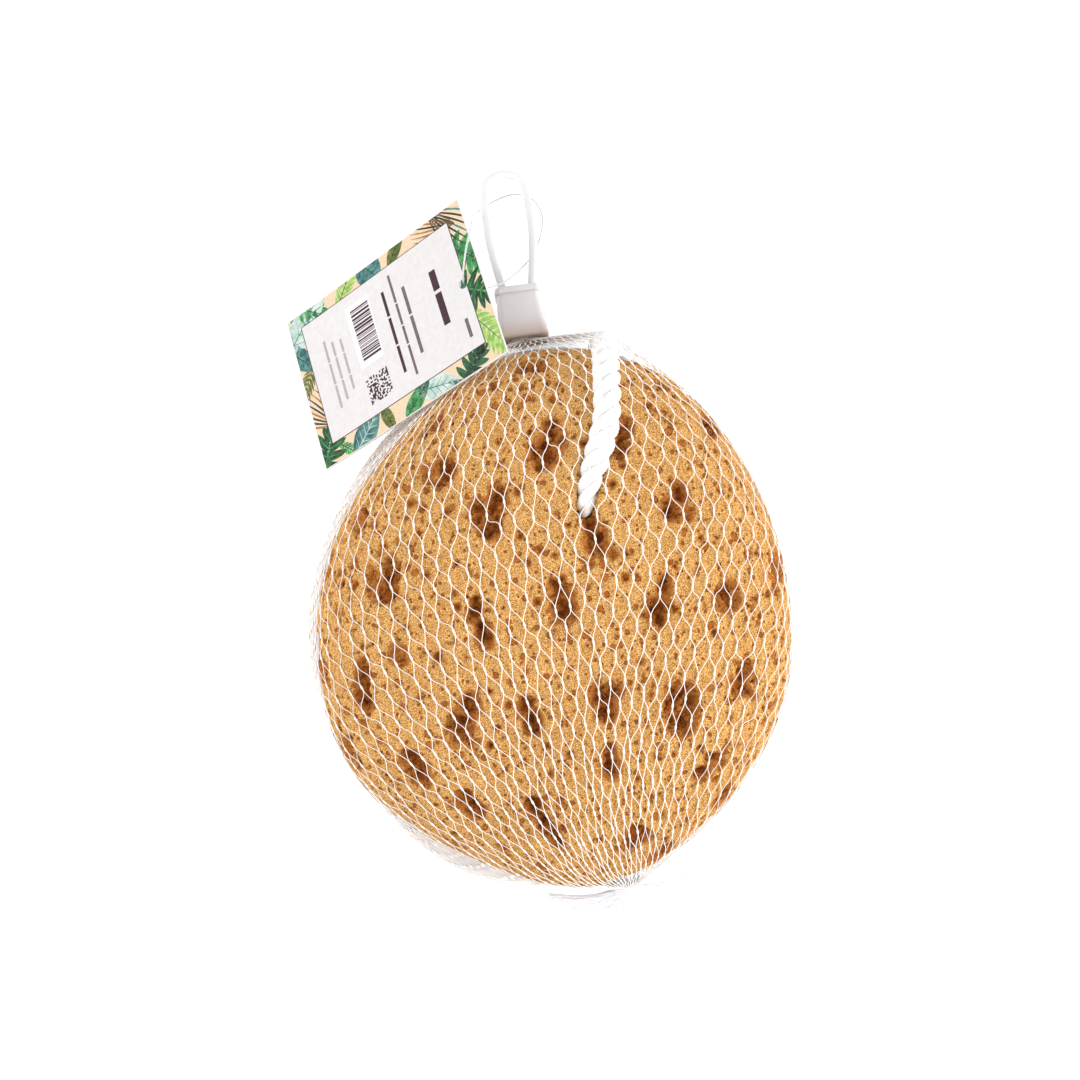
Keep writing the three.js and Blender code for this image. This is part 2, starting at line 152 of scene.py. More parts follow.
# Inks of the tag: light and dark screen colours, scale of the wash's grain, and where it turns.
PRINT_SHARE = 0.85  # how light the inks are in the scene
INKS = dict(
    ground=((236, 212, 180), (198, 162, 120), 2600.0, (0.5, 0.75)),
    panel=((230, 226, 225), (224, 219, 218), 500.0, (0.3, 0.7)),
    label=((240, 235, 236), (237, 231, 232), 500.0, (0.3, 0.7)),
    outline=((78, 62, 52), (60, 48, 42), 900.0, (0.3, 0.7)),
    dark_text=((70, 42, 52), (60, 34, 44), 900.0, (0.3, 0.7)),
    grey_text=((120, 106, 108), (104, 92, 94), 900.0, (0.3, 0.7)),
    pale_text=((186, 178, 178), (172, 164, 164), 900.0, (0.3, 0.7)),
    dark_green=((54, 112, 72), (18, 46, 26), 520.0, (0.3, 0.7)),
    green=((92, 176, 104), (36, 108, 62), 420.0, (0.3, 0.7)),
    light_green=((182, 216, 112), (116, 176, 76), 420.0, (0.3, 0.7)),
    teal=((104, 156, 154), (40, 88, 88), 380.0, (0.3, 0.7)),
    pale_teal=((216, 228, 218), (160, 190, 178), 300.0, (0.3, 0.7)),
    olive=((128, 132, 66), (74, 84, 36), 500.0, (0.3, 0.7)),
    ochre=((196, 142, 84), (150, 96, 48), 500.0, (0.3, 0.7)),
    ink_line=((72, 74, 70), (40, 42, 36), 900.0, (0.3, 0.7)),
)

# The leaves of the tag's border: kind, foot, tip, width, ink, and ink of the ribs.
LEAVES = [
    ("blade", (-3, 12), (20, -5), 12, "pale_teal", "teal"),
    ("monstera", (2, -6), (17, 7), 12, "green", "dark_green"),
    ("palm", (22, 7), (34, -5), 9, "light_green", "olive"),
    ("blade", (35, -3), (42, 8), 11, "teal", "dark_green"),
    ("blade", (46, 6), (56, -4), 5, "olive", "dark_green"),
    ("fan", (75, 7), (58, -2), 11, "ochre", "ink_line"),
    ("fan", (66, -3), (80, 16), 14, "ink_line", "teal"),
    ("monstera", (71, 14), (82, 27), 13, "green", "dark_green"),
    ("monstera", (70, 29), (82, 38), 13, "dark_green", "green"),
    ("palm", (70, 38), (80, 57), 11, "light_green", "green"),
    ("blade", (-4, 8), (7, 23), 8, "teal", "dark_green"),
    ("palm", (7, 20), (-3, 31), 8, "olive", "olive"),
    ("fan", (9, 45), (-3, 31), 13, "ink_line", "ochre"),
    ("monstera", (-2, 60), (8, 44), 15, "dark_green", "green"),
    ("blade", (13, 59), (27, 49), 9, "teal", "pale_teal"),
    ("blade", (28, 49), (31, 60), 4.5, "olive", "dark_green"),
    ("blade", (36, 58), (49, 50), 6, "green", "dark_green"),
    ("blade", (43, 52), (60, 57), 8, "pale_teal", "teal"),
    ("monstera", (60, 60), (72, 50), 11, "dark_green", "ink_line"),
    ("palm", (8, 52), (15, 60), 5, "green", "dark_green"),
]

# Lines of text stand as plain bars: place along, first and last place across, height, ink, words.
TEXT_BARS = [
    (61.4, 17.0, 38.5, 2.6, "dark_text", 2), (68.3, 39.5, 47.0, 1.3, "grey_text", 1),
    (49.2, 15.5, 41.5, 1.3, "grey_text", 2), (45.0, 8.5, 47.0, 1.0, "grey_text", 4),
    (40.9, 12.5, 44.0, 1.2, "dark_text", 3),
    (19.6, 18.0, 38.0, 1.0, "pale_text", 3), (16.0, 17.0, 40.0, 1.0, "pale_text", 3),
    (12.8, 15.0, 41.5, 1.0, "pale_text", 3),
]
BAR_PATTERN = dict(label=((24.4, 9.5), (35.2, 33.2)), along=(26.4, 34.4), across=(11.5, 31.0))
BLOCK_PATTERN = dict(along=(24.8, 34.4), across=37.2, cells=17)

# Hollows in the foam's face: x, y, half width, half length, tilt to the left in degrees, depth.
HOLLOWS = [
    (9.6, 56.0, 2.4, 3.9, 10, 5.5), (6.0, 49.7, 3.9, 5.7, -15, 7), (11.5, 52.5, 2.1, 4.2, 0, 4),
    (-17.1, 34.8, 2.7, 4.5, 10, 6), (-10.5, 37.9, 3.0, 5.1, -10, 7), (-13.7, 31.7, 3.6, 5.1, 0, 7),
    (-29.9, 49.8, 2.8, 3.1, 20, 4), (-24.2, 50.3, 3.0, 3.7, 0, 6.5), (-26.7, 46.4, 2.7, 2.1, 0, 4),
    (-46.3, 22.1, 2.7, 4.6, 0, 7), (-48.6, 16.3, 3.9, 3.3, 10, 6.5), (-51.9, 19.6, 3.0, 5.2, 10, 4),
    (-23.0, 6.4, 2.1, 4.2, -10, 6), (-21.6, -1.1, 2.4, 4.5, 20, 7),
    (2.9, 8.0, 3.0, 3.9, 0, 6), (3.8, 2.6, 3.6, 5.1, -10, 7.5),
    (16.1, 25.2, 2.7, 3.9, 0, 7), (16.9, 19.9, 3.3, 4.2, 10, 6),
    (31.2, 52.2, 2.7, 4.3, 0, 6), (29.0, 47.3, 2.7, 3.6, -20, 7),
    (41.3, 26.3, 3.0, 3.9, 0, 7), (44.7, 30.7, 2.7, 3.3, 0, 6), (45.8, 24.9, 2.1, 3.3, 0, 4),
    (34.5, 3.0, 2.4, 4.5, -10, 6), (31.6, -3.2, 3.3, 5.1, -15, 7),
    (53.2, -3.2, 4.0, 4.6, 0, 6), (70.2, -2.5, 1.9, 3.7, 0, 4),
    (54.8, -27.2, 2.7, 3.7, -15, 5.5), (53.3, -30.9, 3.4, 3.4, 0, 6),
    (32.2, -31.6, 3.6, 5.1, -10, 7.5), (36.5, -31.8, 3.0, 5.1, 15, 6), (33.0, -38.0, 4.2, 4.2, 0, 7),
    (9.9, -25.3, 3.0, 3.6, 0, 6.5), (13.8, -25.7, 3.0, 2.7, 10, 6), (11.4, -30.5, 2.7, 3.3, 0, 7),
    (9.6, -43.2, 2.1, 3.3, 0, 6), (9.3, -48.1, 2.7, 3.3, 0, 7),
    (-12.9, -25.0, 2.4, 3.6, 0, 6.5), (-11.7, -30.1, 2.7, 4.2, 10, 6),
    (-29.3, -22.2, 3.3, 4.2, -10, 6), (-33.1, -27.7, 3.9, 4.8, -15, 7.5),
    (-48.2, -3.1, 3.0, 3.6, 10, 4), (-60.5, -7.8, 2.7, 4.6, 0, 6.5), (-61.6, -14.8, 3.1, 4.3, 10, 7),
    (-50.3, -36.1, 3.4, 3.7, 10, 6), (-48.4, -40.9, 3.4, 4.3, 20, 6.5),
    (-36.1, -50.4, 3.1, 3.4, 0, 6), (-33.7, -54.1, 3.1, 3.4, 30, 6.5),
    (-15.7, -56.1, 2.7, 3.3, 10, 6.5), (-13.2, -62.7, 2.4, 4.6, 35, 7), (-11.0, -68.1, 1.8, 2.8, 30, 5),
    (14.7, -71.1, 4.3, 2.8, -25, 6), (11.4, -73.8, 2.5, 2.5, 0, 5),
    (36.8, -55.7, 2.8, 2.8, -40, 5.5), (41.5, -52.6, 3.7, 2.4, -35, 6),
    (7.5, 77.4, 4.7, 2.8, 5, 5.5), (-54.0, 39.3, 3.1, 4.3, 15, 4.5), (45.9, 65.1, 2.8, 2.5, 20, 4.5),
    (-25.2, 65.1, 2.5, 2.8, 20, 4), (21.2, 16.1, 1.8, 1.8, 0, 3.5), (-36.5, -5.9, 1.5, 1.8, 0, 3),
]
HOLLOW_LEAN = 10.0  # the hollows' own upright, turned from the sponge's
SIDE_HOLLOWS = 19

CAMERA = dict(height=516.0, over=(0.22, 23.72), roll=10.0, lens=49.95, sensor=36.0)
# Lights: place and size in metres, watts, colour.
LIGHTS = dict(
    key=((0.82, -0.32, 0.52), 0.6, 8.6, (1.0, 0.985, 0.96)),
    fill=((-0.75, 0.15, 0.55), 0.9, 5.8, (0.98, 0.985, 1.0)),
)
LIGHT_TARGET = (0, 0, 0.02)
SKY_STRENGTH, FLOOR_GLOW = 0.80, 0.3
FLOOR_SIZE, FLOOR_LEVEL = 8, -0.0002

# ---- Curves and numbers ----


def catmull(a, b, c, d, t):
    """A Catmull-Rom curve between b and c."""
    return 0.5 * (2 * b + (c - a) * t + (2 * a - 5 * b + 4 * c - d) * t ** 2 + (3 * b - a - 3 * c + d) * t ** 3)


def round_value(values, angle):
    """The value at an angle of a table spaced evenly round a circle."""
    table = np.asarray(values, float)
    place = (np.asarray(angle) / (2 * math.pi) * len(table)) % len(table)
    i = np.floor(place).astype(int)
    corners = [table[(i + step) % len(table)] for step in (-1, 0, 1, 2)]
    return catmull(*corners, place - i)


def table_value(table, row, column):
    """A table's value at a fractional row, held at its ends, and a fractional column, which goes round."""
    table = np.asarray(table, float)
    rows, columns = table.shape
    r = np.clip(np.floor(row).astype(int), 0, rows - 2)
    c = np.floor(column).astype(int)
    across = []
    for row_step in (-1, 0, 1, 2):
        at = r + row_step
        inside = np.clip(at, 0, rows - 1)
        corners = [table[inside, (c + step) % columns] for step in (-1, 0, 1, 2)]
        value = catmull(*corners, column - c)
        beyond = at - inside
        nearer = [table[np.clip(inside - np.sign(beyond), 0, rows - 1), (c + step) % columns]
                  for step in (-1, 0, 1, 2)]
        across.append(value + beyond * np.sign(beyond) * (value - catmull(*nearer, column - c)))
    return catmull(*across, row - r)


def lengths_along(path):
    """How far along a path each of its points is."""
    return np.concatenate([[0], np.cumsum(np.linalg.norm(np.diff(path, axis=0), axis=1))])


def smooth_path(points, step):
    """Points a step apart along a smooth curve through the given ones."""
    points = np.asarray(points, float)
    ends = np.vstack([2 * points[0] - points[1], points, 2 * points[-1] - points[-2]])
    steps = np.linspace(0, 1, 24, endpoint=False)
    fine = [catmull(*ends[i:i + 4], t) for i in range(len(points) - 1) for t in steps]
    fine = np.vstack([fine, points[-1]])
    along = lengths_along(fine)
    places = np.linspace(0, along[-1], max(2, round(along[-1] / step) + 1))
    return np.stack([np.interp(places, along, fine[:, k]) for k in range(3)], 1)


def unit(vectors):
    """The same directions, one long."""
    vectors = np.asarray(vectors, float)
    return vectors / np.maximum(np.linalg.norm(vectors, axis=-1, keepdims=True), 1e-12)


def path_frames(path):
    """Two cross directions that don't twist along a path."""
    tangents = unit(np.gradient(path, axis=0))
    start = np.cross(tangents[0], (0, 0, 1))
    if np.linalg.norm(start) < 0.1:
        start = np.cross(tangents[0], (0, 1, 0))
    sides = [unit(start)]
    for tangent in tangents[1:]:
        side = sides[-1] - tangent * np.dot(sides[-1], tangent)
        sides.append(unit(side))
    sides = np.array(sides)
    return sides, np.cross(tangents, sides)


# ---- The sponge's centre, from the CAD's box of its backing ----


def outline(radii):
    """Points of a pebble's outline, as the CAD model samples it."""
    angles = np.linspace(0, 2 * math.pi, 36, endpoint=False)
    radii = round_value(radii, angles)
    return np.stack([radii * np.cos(angles), radii * np.sin(angles)], 1)


def sponge_centre():
    """Where the sponge's centre is on the table, in metres."""
    low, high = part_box("backing_pad")
    edge = outline(CAD_PAD_RADII)
    own = (edge.min(0) + edge.max(0)) / 2
    return np.array([(low.x + high.x) / 2 - own[0] * MM, (low.y + high.y) / 2 - own[1] * MM, 0.0])


CENTRE = sponge_centre()


def place(points):
    """Millimetres from the sponge's centre to metres in the frame."""
    return np.asarray(points, float) * MM + CENTRE


# ---- Making pieces ----


def flat_list(groups):
    return [face for group in groups for face in np.asarray(group).tolist()]


def mesh_piece(name, points, faces, material, smooth=True):
    """A piece from points in millimetres. Faces may be several arrays."""
    mesh = bpy.data.meshes.new(name)
    mesh.from_pydata(place(points).tolist(), [], flat_list(faces))
    mesh.update()
    mesh.polygons.foreach_set("use_smooth", [smooth] * len(mesh.polygons))
    mesh.materials.append(material)
    piece = bpy.data.objects.new(name, mesh)
    bpy.context.scene.collection.objects.link(piece)
    return piece


def finish_piece(piece, node):
    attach(piece, "root")
    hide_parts(node)


def grid_faces(rings, sides):
    """Quads between rings of points."""
    ring = np.arange(rings - 1)[:, None] * sides
    side = np.arange(sides)[None]
    beside = (side + 1) % sides
    quads = np.stack([ring + side, ring + beside, ring + sides + beside, ring + sides + side], -1)
    return quads.reshape(-1, 4)


class Parts:
    """Points and faces gathered for one mesh."""

    def __init__(self):
        self.points, self.faces, self.count = [], [], 0

    def add(self, points, *faces):
        self.points.append(np.asarray(points, float))
        self.faces += [np.asarray(group) + self.count for group in faces]
        self.count += len(points)

    def sweep(self, rings, move=lambda points: points):
        points, *faces = capped_sweep(rings)
        self.add(move(points), *faces)

    def piece(self, name, slot, material, smooth=True):
        return mesh_piece(name, np.concatenate(self.points), self.faces, material, smooth)


def capped_sweep(rings):
    """Points and faces of a closed form through rings of equal length."""
    rings = np.asarray(rings)
    count, sides = rings.shape[:2]
    points = np.concatenate([rings.reshape(-1, 3), rings[0].mean(0)[None], rings[-1].mean(0)[None]])
    side = np.arange(sides)
    beside = (side + 1) % sides
    start = np.stack([beside, side, np.full(sides, count * sides)], 1)
    last = (count - 1) * sides
    end = np.stack([last + side, last + beside, np.full(sides, count * sides + 1)], 1)
    return points, grid_faces(count, sides), start, end


# ---- Materials ----


def srgb(red, green, blue, share):
    """A colour given as on a screen, 0 to 255, made darker by a share."""
    def linear(level):
        return level / 3294.6 if level <= 10 else ((level / 255 + 0.055) / 1.055) ** 2.4

    return tuple(share * linear(level) for level in (red, green, blue))


class Nodes:
    """A short way to build a node material."""

    def __init__(self, name, **sockets):
        self.material = bpy.data.materials.new(name)
        self.material.use_nodes = True
        self.tree = self.material.node_tree
        self.shader = self.tree.nodes["Principled BSDF"]
        self.where = self.add("ShaderNodeTexCoord").outputs["Object"]
        for socket, value in sockets.items():
            self.shader.inputs[socket.replace("_", " ")].default_value = value

    def feed(self, socket, value):
        """Links an output to a socket, or sets a constant on it."""
        if hasattr(value, "links"):
            self.tree.links.new(value, socket)
        else:
            socket.default_value = (*value, 1) if isinstance(value, tuple) else value

    def add(self, kind, inputs=None, **settings):
        node = self.tree.nodes.new(kind)
        for key, value in settings.items():
            setattr(node, key, value)
        for key, value in (inputs or {}).items():
            self.feed(node.inputs[key], value)
        return node

    def link(self, output, socket):
        self.tree.links.new(output, self.shader.inputs[socket])

    def noise(self, scale, detail, roughness=0.55, distortion=0.0):
        inputs = {"Vector": self.where, "Scale": scale, "Detail": detail, "Roughness": roughness,
                  "Distortion": distortion}
        return self.add("ShaderNodeTexNoise", inputs).outputs["Fac"]

    def cells(self, scale):
        return self.add("ShaderNodeTexVoronoi", {"Vector": self.where, "Scale": scale})

    def math(self, operation, *values):
        return self.add("ShaderNodeMath", dict(enumerate(values)), operation=operation).outputs[0]

    def span(self, value, low, high, to_high=1.0):
        """0 at the low value and to_high at the high one, smoothly."""
        inputs = {"Value": value, "From Min": low, "From Max": high, "To Min": 0.0, "To Max": to_high}
        return self.add("ShaderNodeMapRange", inputs, interpolation_type="SMOOTHSTEP").outputs[0]

    def mix(self, factor, a, b):
        node = self.add("ShaderNodeMix", data_type="RGBA")
        for name, value in (("Factor_Float", factor), ("A_Color", a), ("B_Color", b)):
            self.feed(next(socket for socket in node.inputs if socket.identifier == name), value)
        return next(socket for socket in node.outputs if socket.identifier == "Result_Color")

    def two_tone(self, value, dark, light, low=0.3, high=0.7):
        """The surface's colour, from one to another by a value."""
        self.link(self.mix(self.span(value, low, high), dark, light), "Base Color")

    def attribute(self, name):
        return self.add("ShaderNodeAttribute", attribute_name=name).outputs["Fac"]

    def bump(self, *layers):
        """Bumps one on another: (height, distance in metres, strength)."""
        normal = None
        for height, distance, strength in layers:
            inputs = {"Height": height, "Distance": distance, "Strength": strength}
            if normal is not None:
                inputs["Normal"] = normal
            normal = self.add("ShaderNodeBump", inputs).outputs[0]
        self.link(normal, "Normal")


GRAIN_TINTS = [  # noise, where the tint starts and is full, how strong, colour
    ("patch", 0.40, 0.68, 0.5, (0.78, 0.43, 0.14)),
    ("grain", 0.50, 0.68, 0.8, (0.40, 0.13, 0.02)),
    ("grain", 0.50, 0.34, 0.7, (0.92, 0.62, 0.27)),
    ("fine", 0.50, 0.62, 0.85, (0.36, 0.105, 0.012)),
    ("fine", 0.50, 0.38, 0.8, (0.96, 0.66, 0.28)),
    ("fleck", 0.58, 0.72, 0.5, (0.42, 0.155, 0.03)),
]
# Painted shade in the foam's small pits: dark spots that stand for the shade inside them.
PAINTED_PIT_SHADES = [  # scale, colour channel that picks them, how rare, size, colour
    (620, 0, 0.6, 0.40, (0.30, 0.06, 0.007)),
    (330, 1, 0.5, 0.36, (0.36, 0.075, 0.008)),
    (210, 2, 0.5, 0.34, (0.45, 0.115, 0.012)),
]
PIT_SHADE_STRENGTH = 0.85


def foam_material():
    n = Nodes("sea_sponge_foam", Roughness=0.9, Specular_IOR_Level=0.08, Sheen_Weight=0.09, Sheen_Roughness=0.4,
              Sheen_Tint=(1.0, 0.68, 0.30, 1))
    # How much painted shade each point gets from the hollows and pores it lies in.
    hollow_shade = n.attribute("hollow_shade")
    broad = n.noise(34, 3)
    noises = dict(patch=n.noise(150, 4, 0.6), grain=n.noise(1700, 3, 0.8), fine=n.noise(3400, 1, 0.8),
                  fleck=n.noise(700, 2, 0.6))
    tan = n.mix(n.span(broad, 0.35, 0.65), (0.67, 0.315, 0.075), (0.76, 0.385, 0.10))
    for name, low, high, strength, colour in GRAIN_TINTS:
        tan = n.mix(n.span(noises[name], low, high, strength), tan, colour)
    # Painted shade in the small pits. The bump below dents the same spots.
    deepest = None
    for scale, channel, rarest, size, colour in PAINTED_PIT_SHADES:
        cells = n.cells(scale)
        chance = n.add("ShaderNodeSeparateColor", {"Color": cells.outputs["Color"]}).outputs[channel]
        pit = n.span(n.math("SUBTRACT", n.span(chance, rarest, 1.0, size), cells.outputs["Distance"]), 0.0, 0.09)
        tan = n.mix(n.math("MULTIPLY", pit, PIT_SHADE_STRENGTH), tan, colour)
        deepest = pit if deepest is None else n.math("MAXIMUM", deepest, pit)

    # The hollows' painted shade: a ragged brown edge, a darker floor and dark pits, with painted highlights on ridges
    # in it.
    ragged = n.math("MULTIPLY", n.math("SUBTRACT", noises["fleck"], 0.5), 0.9)
    ragged = n.math("ADD", ragged, n.math("MULTIPLY", n.math("SUBTRACT", noises["patch"], 0.5), 0.5))
    seen = n.math("ADD", hollow_shade, n.math("MULTIPLY", ragged, n.span(hollow_shade, 0.0, 0.25)))
    tan = n.mix(n.span(seen, 0.06, 0.26, 0.74), tan, (0.50, 0.15, 0.018))
    tan = n.mix(n.span(seen, 0.42, 0.62, 0.75), tan, (0.30, 0.07, 0.008))
    inner = n.math("MULTIPLY", n.span(hollow_shade, 0.2, 0.5), n.span(n.noise(300, 4, 0.75), 0.53, 0.60))
    tan = n.mix(n.math("MULTIPLY", inner, 0.85), tan, (0.13, 0.022, 0.003))
    ridge = n.math("MULTIPLY", n.span(hollow_shade, 0.25, 0.7), n.span(n.noise(360, 3, 0.7), 0.46, 0.38))
    tan = n.mix(n.math("MULTIPLY", ridge, 0.55), tan, (0.66, 0.26, 0.045))
    n.link(tan, "Base Color")

    cell_edge = n.span(n.cells(1000).outputs["Distance"], 0.1, 0.7)
    n.bump((n.math("MULTIPLY", cell_edge, -1.0), 0.0005, 0.8), (noises["grain"], 0.0006, 0.8),
           (n.math("MULTIPLY", deepest, -1.0), 0.0010, 0.9))
    return n.material


def pad_material():
    n = Nodes("white_padding", Roughness=0.95, Sheen_Weight=0.25)
    fibre = n.noise(2200, 3, 0.7, distortion=0.6)
    lump = n.noise(160, 2)
    # Painted shade: the white pad is coloured lavender-grey all over, for the cool shade it lies in under the foam.
    n.two_tone(lump, (0.58, 0.565, 0.60), (0.65, 0.635, 0.665))
    n.bump((lump, 0.0012, 0.4), (fibre, 0.0003, 0.5))
    return n.material


def cotton_material():
    n = Nodes("white_cotton", Roughness=0.9, Sheen_Weight=0.3, Subsurface_Weight=0.5, Subsurface_Radius=(1, 1, 1),
              Subsurface_Scale=0.003)
    n.two_tone(n.noise(500, 2), (0.95, 0.95, 0.95), (0.98, 0.98, 0.98))
    n.bump((n.noise(2600, 4, 0.7, distortion=1.0), 0.0003, 0.6))
    return n.material


def net_material(name, roughness, scale, dark, light, height):
    n = Nodes(name, Roughness=roughness)
    draw = n.noise(scale, 2)
    n.two_tone(draw, dark, light)
    n.bump((draw, height, 0.4))
    return n.material


def plastic_material():
    """The hanger: whiter in the eye, a little greyer in the block, and painted warm brown toward its foot for the
    sponge's shade and reflected colour.
    """
    n = Nodes("white_polyethylene", Roughness=0.34)
    cloud = n.noise(90, 2)
    turn = n.span(cloud, 0.3, 0.7)
    white = n.mix(turn, (0.68, 0.68, 0.695), (0.73, 0.73, 0.745))
    block = n.mix(turn, (0.68, 0.655, 0.665), (0.74, 0.72, 0.73))
    # A value that rises toward the hanger's foot. It drives the block's tone and the painted shade and reflection near
    # the foot.
    thick = n.attribute("thick")
    tone = n.mix(n.span(thick, 0.0, 0.5), white, block)
    # Painted shade and reflection: the sponge's brown toward the hanger's foot, where the value passes one half.
    n.two_tone(thick, tone, (0.62, 0.52, 0.48), 0.5, 1.0)
    n.bump((n.noise(1800, 3), 0.00006, 0.4), (cloud, 0.0004, 0.15))
    return n.material


def thread_material():
    n = Nodes("nylon_thread", Roughness=0.3)
    n.two_tone(n.noise(1500, 1), (0.50, 0.51, 0.54), (0.66, 0.665, 0.68))
    return n.material


def card_material():
    n = Nodes("white_card", Roughness=0.5)
    speck = n.noise(2500, 2)
    n.two_tone(speck, (0.74, 0.71, 0.69), (0.70, 0.665, 0.64), 0.45, 0.7)
    n.bump((speck, 0.00003, 0.3))
    return n.material


def print_material(name, light, dark, grain, contrast):
    """Ink on the card, washed from one colour to another."""
    n = Nodes("print_" + name, Roughness=0.6, Specular_IOR_Level=0.25)
    n.two_tone(n.noise(grain, 3, 0.6), srgb(*light, PRINT_SHARE), srgb(*dark, PRINT_SHARE), *contrast)
    return n.material


MATERIALS = dict(
    foam=foam_material(), pad=pad_material(), cotton=cotton_material(),
    net=net_material("white_net", 0.38, 900, (0.92, 0.915, 0.90), (0.96, 0.955, 0.95), 0.0001),
    # The loose end's net: the white net painted darker and lavender, for the shade among its bunched layers.
    tail=net_material("bunched_net_shaded", 0.4, 420, (0.86, 0.845, 0.885), (0.91, 0.895, 0.93), 0.0002),
    plastic=plastic_material(), thread=thread_material(), card=card_material(),
)
MATERIALS.update({ink: print_material(ink, *look) for ink, look in INKS.items()})

# ---- Camera and the free thread ----


def make_camera():
    data = bpy.data.cameras.new("camera")
    data.lens, data.sensor_width = CAMERA["lens"], CAMERA["sensor"]
    data.clip_start, data.clip_end = 0.01, 20.0
    camera = bpy.data.objects.new("camera", data)
    bpy.context.scene.collection.objects.link(camera)
    camera.location = place((*CAMERA["over"], CAMERA["height"]))
    camera.rotation_euler = (0, 0, -math.radians(CAMERA["roll"]))
    bpy.context.scene.camera = camera


def make_thread():
    path = place(smooth_path(THREAD_ROUTE, 2.0))
    curve = bpy.data.curves.new("tag_thread_line", "CURVE")
    curve.dimensions = "3D"
    curve.bevel_depth = THREAD_RADIUS * MM
    curve.bevel_resolution = 3
    curve.use_fill_caps = True
    line = curve.splines.new("POLY")
    line.points.add(len(path) - 1)
    line.points.foreach_set("co", np.c_[path, np.ones(len(path))].ravel())
    line.use_smooth = True
    curve.materials.append(MATERIALS["thread"])
    thread = bpy.data.objects.new("tag_thread_line", curve)
    bpy.context.scene.collection.objects.link(thread)
    finish_piece(thread, "tag_thread")


make_camera()
make_thread()

# ---- The sponge: foam and backing ----


def pebble_rise(pebble, share):
    """A pebble's side: how far in it is at a share of its height from the widest level, or the reverse."""
    return np.maximum(1 - share ** pebble["roundness"], 0.0) ** (1 / pebble["roundness"])


def pebble_rings(pebble, by=0.0, sides=96, levels=24):
    """Rings up a pebble, grown outwards."""
    above, below = pebble["above"] + by, pebble["below"] + by
    low, high = pebble["bottom"] - by, pebble["top"] + by
    quarter = np.sin(np.linspace(0, math.pi / 2, levels))
    heights = pebble["widest"] + np.concatenate([-below * quarter[::-1], above * quarter[1:]])
    heights = np.unique(np.clip(heights, low, high).round(5))
    angles = np.linspace(0, 2 * math.pi, sides, endpoint=False)
    radii = round_value(pebble["radii"], angles) + by
    rings = []
    for z in heights:
        share = max(pebble_rise(pebble, abs(z - pebble["widest"]) / (above if z > pebble["widest"] else below)), 0.02)
        rings.append(np.stack([radii * share * np.cos(angles), radii * share * np.sin(angles),
                               np.full(sides, z)], 1))
    return np.array(rings)


def remeshed(rings, voxel, smoothing):
    """Even small quads over the form through rings: points, outward directions and faces."""
    points, *faces = capped_sweep(rings)
    mesh = bpy.data.meshes.new("remesh_work")
    mesh.from_pydata(points.tolist(), [], flat_list(faces))
    work = bpy.data.objects.new("remesh_work", mesh)
    bpy.context.scene.collection.objects.link(work)
    remesh = work.modifiers.new("remesh", "REMESH")
    remesh.mode, remesh.voxel_size = "VOXEL", voxel
    smooth = work.modifiers.new("smooth", "SMOOTH")
    smooth.factor, smooth.iterations = 0.5, smoothing
    made = work.evaluated_get(bpy.context.evaluated_depsgraph_get())
    result = made.to_mesh()
    out, normals = np.zeros((2, len(result.vertices) * 3))
    result.vertices.foreach_get("co", out)
    result.vertices.foreach_get("normal", normals)
    quads = [tuple(polygon.vertices) for polygon in result.polygons]
    made.to_mesh_clear()
    bpy.data.objects.remove(work)
    return out.reshape(-1, 3), normals.reshape(-1, 3), quads


def foam_top(x, y):
    """Height of the foam's face over a point."""
    share = np.hypot(x, y) / round_value(FOAM["radii"], np.arctan2(y, x))
    return np.minimum(FOAM["top"], FOAM["widest"] + FOAM["above"] * pebble_rise(FOAM, np.clip(share, 0, 1)))


def noise_field(points, scale, seed):
    """Smooth noise from -1 to 1 at each point."""
    offset = Vector((seed * 17.3, seed * 5.1, seed * 9.7))
    return np.array([noise.noise(Vector(p) * scale + offset) for p in points])


def hollow_lobes():
    """The lobes of the hollows: centre, half width and length, tilt and depth. Those round the side are drawn."""
    for x, y, half_width, half_length, tilt, deep in HOLLOWS:
        yield np.array([x, y, foam_top(x, y)]), half_width, half_length, math.radians(tilt), deep
    for angle in np.linspace(0, 2 * math.pi, SIDE_HOLLOWS, endpoint=False):
        turn = angle + RNG.uniform(-0.12, 0.12)
        z = RNG.uniform(23, 46)
        rise = abs(z - FOAM["widest"]) / (FOAM["above"] if z > FOAM["widest"] else FOAM["below"])
        radius = round_value(FOAM["radii"], turn) * pebble_rise(FOAM, rise)
        centre = np.array([radius * math.cos(turn), radius * math.sin(turn), z])
        yield centre, RNG.uniform(2.8, 4.2), RNG.uniform(4, 6), RNG.uniform(-0.5, 0.5), 6.0
        beside = centre + np.array([-math.sin(turn), math.cos(turn), 0]) * 3 + np.array([0, 0, RNG.uniform(-4, 4)])
        yield beside, RNG.uniform(2.4, 3.4), RNG.uniform(3, 4.5), RNG.uniform(-0.5, 0.5), 6.5


